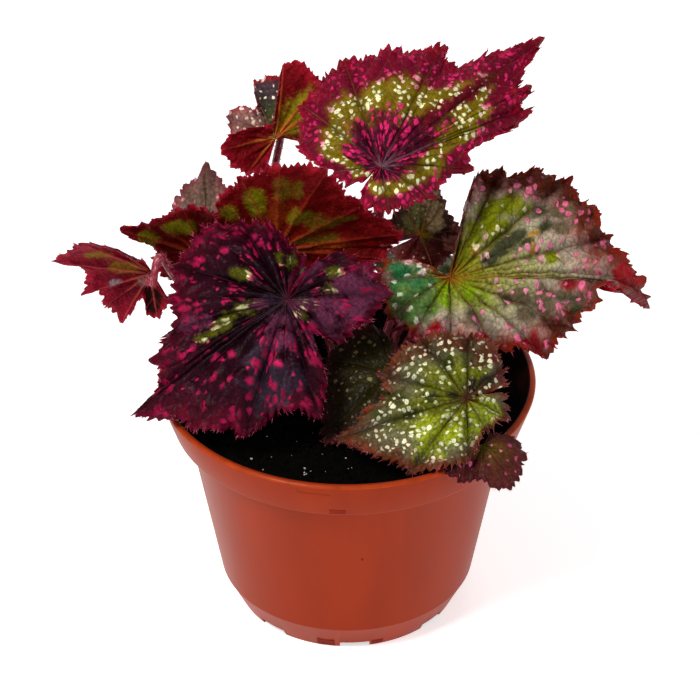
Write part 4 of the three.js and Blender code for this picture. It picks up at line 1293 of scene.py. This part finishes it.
def build_stalk(node, leaf):
    """A closed tube round the stalk's line, with soft ridges, and its bristles."""
    radius, knots = stalk_line(leaf)
    length = np.linalg.norm(np.diff(knots, axis=0), axis=1).sum()
    steps = round(length / STALK_STEP)
    centre = through(knots, np.linspace(0, len(knots) - 1, steps))
    way = unit(np.gradient(centre, axis=0))
    side = unit(np.cross(way, (0.3, 0.9, 0.1)))
    other = np.cross(way, side)
    t = np.linspace(0, 1, steps)
    # it tapers upwards, is wider at its foot and swells where it meets the blade
    thick = radius * (1.12 - 0.16 * t + 0.1 * (1 - t) ** 8 + 0.12 * t ** 12)
    around = np.linspace(0, 2 * math.pi, STALK_SIDES + 1)
    ridge = 1 + RIDGE_HEIGHT * np.cos(RIDGES * around)
    tube = (centre[:, None] + (thick[:, None] * ridge * np.cos(around))[..., None] * side[:, None]
            + (thick[:, None] * ridge * np.sin(around))[..., None] * other[:, None])
    foot, head = (np.repeat(end[None, None], STALK_SIDES + 1, 1) for end in (centre[0], centre[-1]))
    tube = np.concatenate([foot, tube, head])
    flat = np.stack(np.broadcast_arrays((around * radius)[None, :],
                                        (np.arange(steps + 2) * STALK_STEP)[:, None]), -1)
    piece = shaped_grid(node + "_skin", tube, flat, {})[0]
    close_seams(bpy.ops.mesh.normals_make_consistent)
    piece.data.materials.append(skin)
    count = int(length * BRISTLES)
    place = rng.uniform(1, steps - 1.01, count).astype(int)
    turn = rng.uniform(0, 2 * math.pi, count)
    out = np.cos(turn)[:, None] * side[place] + np.sin(turn)[:, None] * other[place]
    roots = centre[place] + out * (thick[place] * BRISTLE_ROOT)[:, None]
    ways = out + BRISTLE_LEAN * way[place] + rng.normal(scale=BRISTLE_SPREAD, size=out.shape)
    lengths = rng.uniform(*BRISTLE_LENGTHS, count)
    join(piece, [hairs(node + "_hairs", roots, ways, lengths, BRISTLE_WIDTH, hair)])
    return piece


for name, leaf in LEAVES.items():
    node = name.replace("leaf_", "stalk_")
    piece = build_stalk(node, leaf)
    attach(piece, "root")
    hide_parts(node)
print("stalks:", len(LEAVES))

# %% [markdown]
# ## The pot
# A nursery pot is injection moulded in one go from satin polypropylene: a tapered wall,
# a stepped foot with drainage notches, and a deep band under a rounded lip. It could be
# spun from a profile. Here the listed profile is climbed, so that each step of it can
# be followed: a circle is extruded and scaled from height to height, up the outside and
# down the inside, and bevelled.

# %% The pot's profile
POT_SIDES = 128
BASE_RADIUS = 44.8
POT_PROFILE = [(20, 0), (BASE_RADIUS, 0), (51, 13), (51.5, 13.5), (64.2, 84.5), (68.9, 84.5),
               (69.8, 85.4), (75, 101.1), (74.1, 102), (72.45, 102), (72, 101.1), (68.2, 86.1),
               (62.6, 86.1), (49.9, 13), (44, 2), (20, 2), (1, 2)]
EDGE_ROUND = 0.45
deselect()
bpy.ops.mesh.primitive_circle_add(vertices=POT_SIDES, radius=1 * MM, fill_type="NOTHING")
pot = bpy.context.object
pot.name = "pot_shell"
bpy.ops.object.mode_set(mode="EDIT")
bpy.ops.mesh.select_all(action="SELECT")
radius, height = 1, 0
for next_radius, next_height in POT_PROFILE:
    rise = (0, 0, (next_height - height) * MM)
    bpy.ops.mesh.extrude_region_move(TRANSFORM_OT_translate={"value": rise})
    grow = next_radius / radius
    bpy.ops.transform.resize(value=(grow, grow, 1), center_override=(0, 0, next_height * MM))
    radius, height = next_radius, next_height
bpy.ops.mesh.select_all(action="DESELECT")
bpy.ops.mesh.select_non_manifold()
bpy.ops.mesh.fill_holes(sides=0)
bpy.ops.mesh.select_all(action="SELECT")
bpy.ops.mesh.normals_make_consistent(inside=False)
bpy.ops.object.mode_set(mode="OBJECT")
apply_modifier(pot, "moulded edges", "BEVEL", width=EDGE_ROUND * MM, segments=3,
               limit_method="ANGLE", angle_limit=math.radians(20))
print("pot shell:", len(pot.data.polygons), "faces")

# %% Drainage notches
NOTCHES, FIRST_NOTCH = 8, -86
NOTCH_WIDTH, NOTCH_HEIGHT, NOTCH_DEPTH = 12, 3.2, 9
deselect()
bpy.ops.mesh.primitive_cube_add(size=1)
cutters = []
for k in range(NOTCHES):
    if k:
        bpy.ops.object.duplicate()
    cutter = bpy.context.object
    angle = math.radians(FIRST_NOTCH + 360 / NOTCHES * k)
    cutter.scale = (NOTCH_DEPTH * MM, NOTCH_WIDTH * MM, 2 * NOTCH_HEIGHT * MM)
    cutter.location = (BASE_RADIUS * MM * math.cos(angle), BASE_RADIUS * MM * math.sin(angle), 0)
    cutter.rotation_euler = (0, 0, angle)
    cutters.append(cutter)
join(cutters[0], cutters[1:])
bpy.ops.object.transform_apply(location=True, rotation=True, scale=True)
bpy.context.view_layer.objects.active = pot
apply_modifier(pot, "notches", "BOOLEAN", operation="DIFFERENCE", solver="EXACT", object=cutters[0])
bpy.data.objects.remove(cutters[0])
deselect()
pot.select_set(True)
bpy.context.view_layer.objects.active = pot
bpy.ops.object.shade_smooth_by_angle(angle=math.radians(25))
print("notches:", NOTCHES, "of", NOTCH_WIDTH, "by", NOTCH_HEIGHT, "mm")

# %% Satin polypropylene
# the flow lines are 17 mm wide and 111 mm tall
FLOW_STRETCH = (60, 60, 9)
FINE_GRAIN = 0.9
plastic, tree, shader = new_material("satin_polypropylene_injection_moulded")
# moulded against polished steel, then dulled by handling: a soft satin with faint flow lines
place = add(tree, "ShaderNodeTexCoord")["Object"]
flow_space = add(tree, "ShaderNodeMapping", {"Vector": place, "Scale": FLOW_STRETCH})[0]
flow = add(tree, NOISE, {"Vector": flow_space, "Scale": 1, "Detail": 3})[0]
grain = add(tree, NOISE, {"Vector": place, "Scale": 1 / (FINE_GRAIN * MM), "Detail": 2})[0]
colour = add(tree, RAMP, {0: flow}, [(0.3, "8a2b0d"), (0.5, "902d0e"), (0.7, "963010")])[0]
gloss = add(tree, RANGE, {0: flow, 1: 0.3, 2: 0.7, 3: 0.34, 4: 0.42})[0]
bump = add(tree, "ShaderNodeBump", {"Height": grain, "Strength": 0.25, "Distance": 0.12 * MM})[0]
dress(tree, shader, {"Base Color": colour, "Roughness": gloss, "Normal": bump,
                     "IOR": 1.49, "Specular IOR Level": 0.05})
pot.data.materials.append(plastic)
print("pot finish:", plastic.name)

# %% [markdown]
# The plastic's colour changes from place to place. The lip is painted brighter as a
# highlight, and the inner wall near black: painted shade inside the pot, and stains of the
# peat. Moulding leaves marks of its own: an angled witness line and a matt tile on the
# band, and the scar of the gate on the wall. Beside the front notch, dark ends are painted
# shade in its recesses. They could be painted, but laid on as thin blocks they also catch
# the light.

# %% The lip's painted highlight, the inner wall's painted shade and stains, matt places
# the lip's finish is brighter orange: a painted highlight
LIT_SHADED_AND_MATT = (("plastic_lip_painted_highlight", "aa3c14", 0.3),
        # near black inside the pot: painted shade, with stains of the peat
        ("plastic_stained_by_damp_peat", "1c0602", 0.6),
        # matt plastic for the mould marks, and for the painted shade at the ends of the front notch
        ("plastic_matt_mould_mark", "7c1c08", 0.7))
BARE, LIP_HIGHLIGHT, SHADE_AND_STAIN, MATT_MARK_AND_SHADE = range(4)
BLOTCH_SIZE = 6
LIP_FROM, LIP_OUTSIDE, INNER_SHADE_FROM = 101.05, 73.6, 40

for name, hexcode, roughness in LIT_SHADED_AND_MATT:
    finish, tree, shader = new_material(name)
    place = add(tree, "ShaderNodeTexCoord")["Object"]
    blotches = add(tree, NOISE, {"Vector": place, "Scale": 1 / (BLOTCH_SIZE * MM), "Detail": 4})[0]
    value = add(tree, RANGE, {0: blotches, 1: 0.3, 2: 0.7, 3: 0.75, 4: 1.15})[0]
    colour = add(tree, "ShaderNodeHueSaturation", {"Color": linear(hexcode), "Value": value})[0]
    dress(tree, shader, {"Base Color": colour, "Roughness": roughness, "Specular IOR Level": 0.1})
    pot.data.materials.append(finish)
for face in pot.data.polygons:
    middle, radial = face.center, Vector((face.center.x, face.center.y, 0)).normalized()
    # the lip: painted highlight
    if middle.z > LIP_FROM * MM and middle.xy.length > LIP_OUTSIDE * MM:
        face.material_index = LIP_HIGHLIGHT
    # the inner wall: painted shade and peat stains
    elif face.normal.dot(radial) < -0.3 and middle.z > INNER_SHADE_FROM * MM:
        face.material_index = SHADE_AND_STAIN
print("pot finishes:", [finish.name for finish in pot.data.materials])

# %% Moulding marks, and painted shade at the front notch
OUTSIDE = POT_PROFILE[1:8]
# the dots of the witness line: how many, the turn and height of the first, and the step to the next
WITNESS_DOTS, WITNESS_START, WITNESS_STEP = 9, (-14.2, 97.6), (1.1, -0.06)
MARKS = (("witness_line_end", -14.8, 98.4, (0.3, 0.4, 2), BARE),
         ("band_tile", -2.9, 87.1, (0.2, 6.2, 2.4), MATT_MARK_AND_SHADE),
         ("gate_scar", 5.8, 55, (0.5, 0.8, 0.8), MATT_MARK_AND_SHADE),
         # the dark ends of the front notch: painted shade in its recesses
         ("notch_shade_left", -10.6, 2.7, (0.2, 7, 4.6), MATT_MARK_AND_SHADE),
         ("notch_shade_right", 15.4, 2.2, (0.2, 4.6, 3), MATT_MARK_AND_SHADE))


def mark(name, angle, height, size, finish):
    """A thin block laid against the pot: its turn from the front in degrees, height and size in mm."""
    below, above = [(a, b) for a, b in zip(OUTSIDE, OUTSIDE[1:]) if a[1] <= height < b[1]][0]
    lean = math.atan2(above[0] - below[0], above[1] - below[1])
    radius = below[0] + (height - below[1]) * math.tan(lean)
    bpy.ops.mesh.primitive_cube_add(size=1)
    block = bpy.context.object
    block.name = name
    turn = math.radians(angle - 90)
    block.scale = Vector(size) * MM
    block.location = Vector((radius * math.cos(turn), radius * math.sin(turn), height)) * MM
    block.rotation_euler = (0, lean, turn)
    bpy.ops.object.transform_apply(location=True, rotation=True, scale=True)
    block.data.materials.append(pot.data.materials[finish])
    return block


deselect()
marks = [mark(f"witness_line_{k}", WITNESS_START[0] + WITNESS_STEP[0] * k,
              WITNESS_START[1] + WITNESS_STEP[1] * k, (0.3, 1.5, 0.4), BARE)
         for k in range(WITNESS_DOTS)]
marks += [mark(*row) for row in MARKS]
join(pot, marks)
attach(pot, "root")
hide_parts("pot")
print("pot:", len(pot.data.polygons), "faces")

# %% [markdown]
# ## Peat
# The pot is filled with black peat, a crumbly mass of fibres with a few white specks of
# perlite. A displaced disc would do for its surface, but the lumps have to be those of
# the solid, so the surface is a rolled grid, each point at its own height, roughened by
# waves that cross at odd angles and strewn with crumbs. Below the surface the grid goes
# down the wall and closes at the bottom.

# %% Peat surface
LEVEL, LUMP, CLOD = 91, 0.9, 0.55
EDGE_DROP, EDGE_WIDE = 1.2, 6
SOIL_EDGE, SOIL_SIDES, SOIL_RINGS = 69.35, 180, 60
SKIRT = [(SOIL_EDGE - 0.9, 86.4), (62, 86.1), (49.3, 13.6), (43, 5.7), (0, 5.6)]
# each kind of clod: its size in mm, the way its waves run, in radians, and its share
CLODS = ((5.1, 0.4, 0.45), (3.7, 1.5, 0.4), (2.3, 2.4, 0.35), (1.7, 0.9, 0.25))


def lumps(x, y):
    """The solid's own lumps, in mm."""
    return LUMP * (np.sin(x * 0.31 + 1.3) * np.cos(y * 0.27) + 0.6 * np.sin(x * 0.13 - y * 0.19))


def crumble(x, y):
    """Small clods, from sines that cross at odd angles."""
    value = np.zeros(np.shape(x))
    for size, angle, weight in CLODS:
        along = x * math.cos(angle) + y * math.sin(angle)
        across = -x * math.sin(angle) + y * math.cos(angle)
        value = value + weight * np.sin(2 * math.pi * along / size + 2 * np.sin(across / size))
    return value


around = np.linspace(0, 2 * math.pi, SOIL_SIDES + 1)[None, :]
out = np.sqrt(np.linspace(0, 1, SOIL_RINGS))[:, None] * SOIL_EDGE
x, y = out * np.cos(around), out * np.sin(around)
inside = np.clip((SOIL_EDGE - out) / EDGE_WIDE, 0, 1)
z = LEVEL - EDGE_DROP * (1 - inside) + (lumps(x, y) + CLOD * crumble(x, y)) * inside
for ring_radius, ring_height in SKIRT:
    x = np.vstack([x, ring_radius * np.cos(around)])
    y = np.vstack([y, ring_radius * np.sin(around)])
    z = np.vstack([z, np.full(around.shape, ring_height)])
x[:, -1], y[:, -1], z[:, -1] = x[:, 0], y[:, 0], z[:, 0]
surface = np.stack([x, y, z], -1)
peat_bed = shaped_grid("peat_bed", surface, surface[..., :2], {})[0]
close_seams(bpy.ops.mesh.normals_make_consistent)
print("peat:", len(peat_bed.data.polygons), "faces")


# %% Peat and perlite
def grained(name, size, stops, roughness, detail=2, harsh=0.5, specular=0.5, bump=None):
    """A finish coloured by one grain, its size in mm; a bump is its strength and depth in mm."""
    material, tree, shader = new_material(name)
    place = add(tree, "ShaderNodeTexCoord")["Object"]
    grain = add(tree, NOISE,
                {"Vector": place, "Scale": 1 / (size * MM), "Detail": detail, "Roughness": harsh})[0]
    dress(tree, shader, {"Base Color": add(tree, RAMP, {0: grain}, stops)[0],
                         "Roughness": roughness, "Specular IOR Level": specular})
    if bump:
        normal = add(tree, "ShaderNodeBump",
                     {"Height": grain, "Strength": bump[0], "Distance": bump[1] * MM})[0]
        dress(tree, shader, {"Normal": normal})
    return material


# damp fibres swallow the light: near black, brown where it has dried
peat = grained("peat_milled_damp", 1.8,
               [(0.35, "020201"), (0.55, "060504"), (0.68, "120d0a"), (0.78, "2c221a")],
               roughness=0.95, detail=6, harsh=0.7, specular=0.05, bump=(1, 1.2))
peat_bed.data.materials.append(peat)
# popped volcanic glass: chalky white, dusted with peat
perlite = grained("perlite_expanded_grains", 0.5, [(0.35, "6a5f54"), (0.6, "d8d2c8")], roughness=0.9)
print("peat finishes:", peat.name, perlite.name)

# %% Crumbs and specks
CRUMBS, CRUMB_SIZES = 900, (0.5, 1.5)
SPECKS, SPECK_SIZES = 90, (0.25, 0.6)
deselect()
bpy.ops.mesh.primitive_ico_sphere_add(subdivisions=1, radius=1)
GRAIN_POINTS, GRAIN_FACES = points_and_faces(bpy.context.object)


def strewn(name, count, sizes, material, sunk):
    """Copies of one angular grain, each squashed and turned its own way, on the peat."""
    spread = np.sqrt(rng.uniform(0, 1, count)) * (SOIL_EDGE - 4)
    turn = rng.uniform(0, 2 * math.pi, count)
    px, py = spread * np.cos(turn), spread * np.sin(turn)
    size = rng.uniform(*sizes, count)
    pz = LEVEL + lumps(px, py) + CLOD * crumble(px, py) + (0.5 - sunk) * size
    squash = rng.uniform(0.5, 1.1, (count, 1, 3)) * size[:, None, None]
    grains = GRAIN_POINTS * squash
    c, s = np.cos(turn * 7)[:, None], np.sin(turn * 7)[:, None]
    turned = np.stack([grains[..., 0] * c - grains[..., 1] * s,
                       grains[..., 0] * s + grains[..., 1] * c, grains[..., 2]], -1)
    return copies(name, turned + np.stack([px, py, pz], -1)[:, None], GRAIN_FACES, material)


join(peat_bed, [strewn("crumbs", CRUMBS, CRUMB_SIZES, peat, 0.2),
                strewn("specks", SPECKS, SPECK_SIZES, perlite, 0)])
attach(peat_bed, "root")
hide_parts("soil")
print("grains:", CRUMBS + SPECKS)

# %% [markdown]
# ## Crown
# All stalks grow from one short creeping stem at the peat's surface, knobbly with the
# scars of old leaves. It could be sculpted, but a script can't repeat the strokes of a
# hand. Here it is four balls melted into one another by a remesh, relaxed, and rippled
# by a cloud texture.

# %% Crown
# x and y of each knob and its radius
CROWN_KNOTS = [(-17, 8, 7), (-6, 5, 9), (6, 6, 9.5), (17, 3, 7)]
CROWN_HEIGHT, CROWN_STRETCH = 90, (1.15, 1, 0.9)
VOXEL = 0.9
SCAR_SIZE, SCAR_DEPTH = 4, 1.2
deselect()
knots = []
for x, y, radius in CROWN_KNOTS:
    bpy.ops.mesh.primitive_uv_sphere_add(
        segments=32, ring_count=20, radius=radius * MM,
        location=(x * MM, y * MM, CROWN_HEIGHT * MM), scale=CROWN_STRETCH)
    knots.append(bpy.context.object)
crown = knots[0]
join(crown, knots[1:])
crown.name = "crown_stem"
bpy.ops.object.transform_apply(location=True, rotation=True, scale=True)
apply_modifier(crown, "melted together", "REMESH", mode="VOXEL", voxel_size=VOXEL * MM)
apply_modifier(crown, "relaxed", "SMOOTH", iterations=6)
scars = bpy.data.textures.new("leaf scars", "CLOUDS")
scars.noise_scale = SCAR_SIZE * MM
apply_modifier(crown, "leaf scars", "DISPLACE", texture=scars, strength=SCAR_DEPTH * MM, mid_level=0.7)
bpy.ops.object.shade_smooth()
# old stem is corky and brown, the fresh parts between the scars are red
bark = grained("begonia_stem_corky_bark", 3,
               [(0.35, "2c1810"), (0.5, "553226"), (0.62, "7a2c30"), (0.7, "8a5a48")],
               roughness=0.75, detail=5, bump=(0.7, 0.6))
crown.data.materials.append(bark)
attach(crown, "root")
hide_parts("crown")
print("crown:", len(crown.data.polygons), "faces")
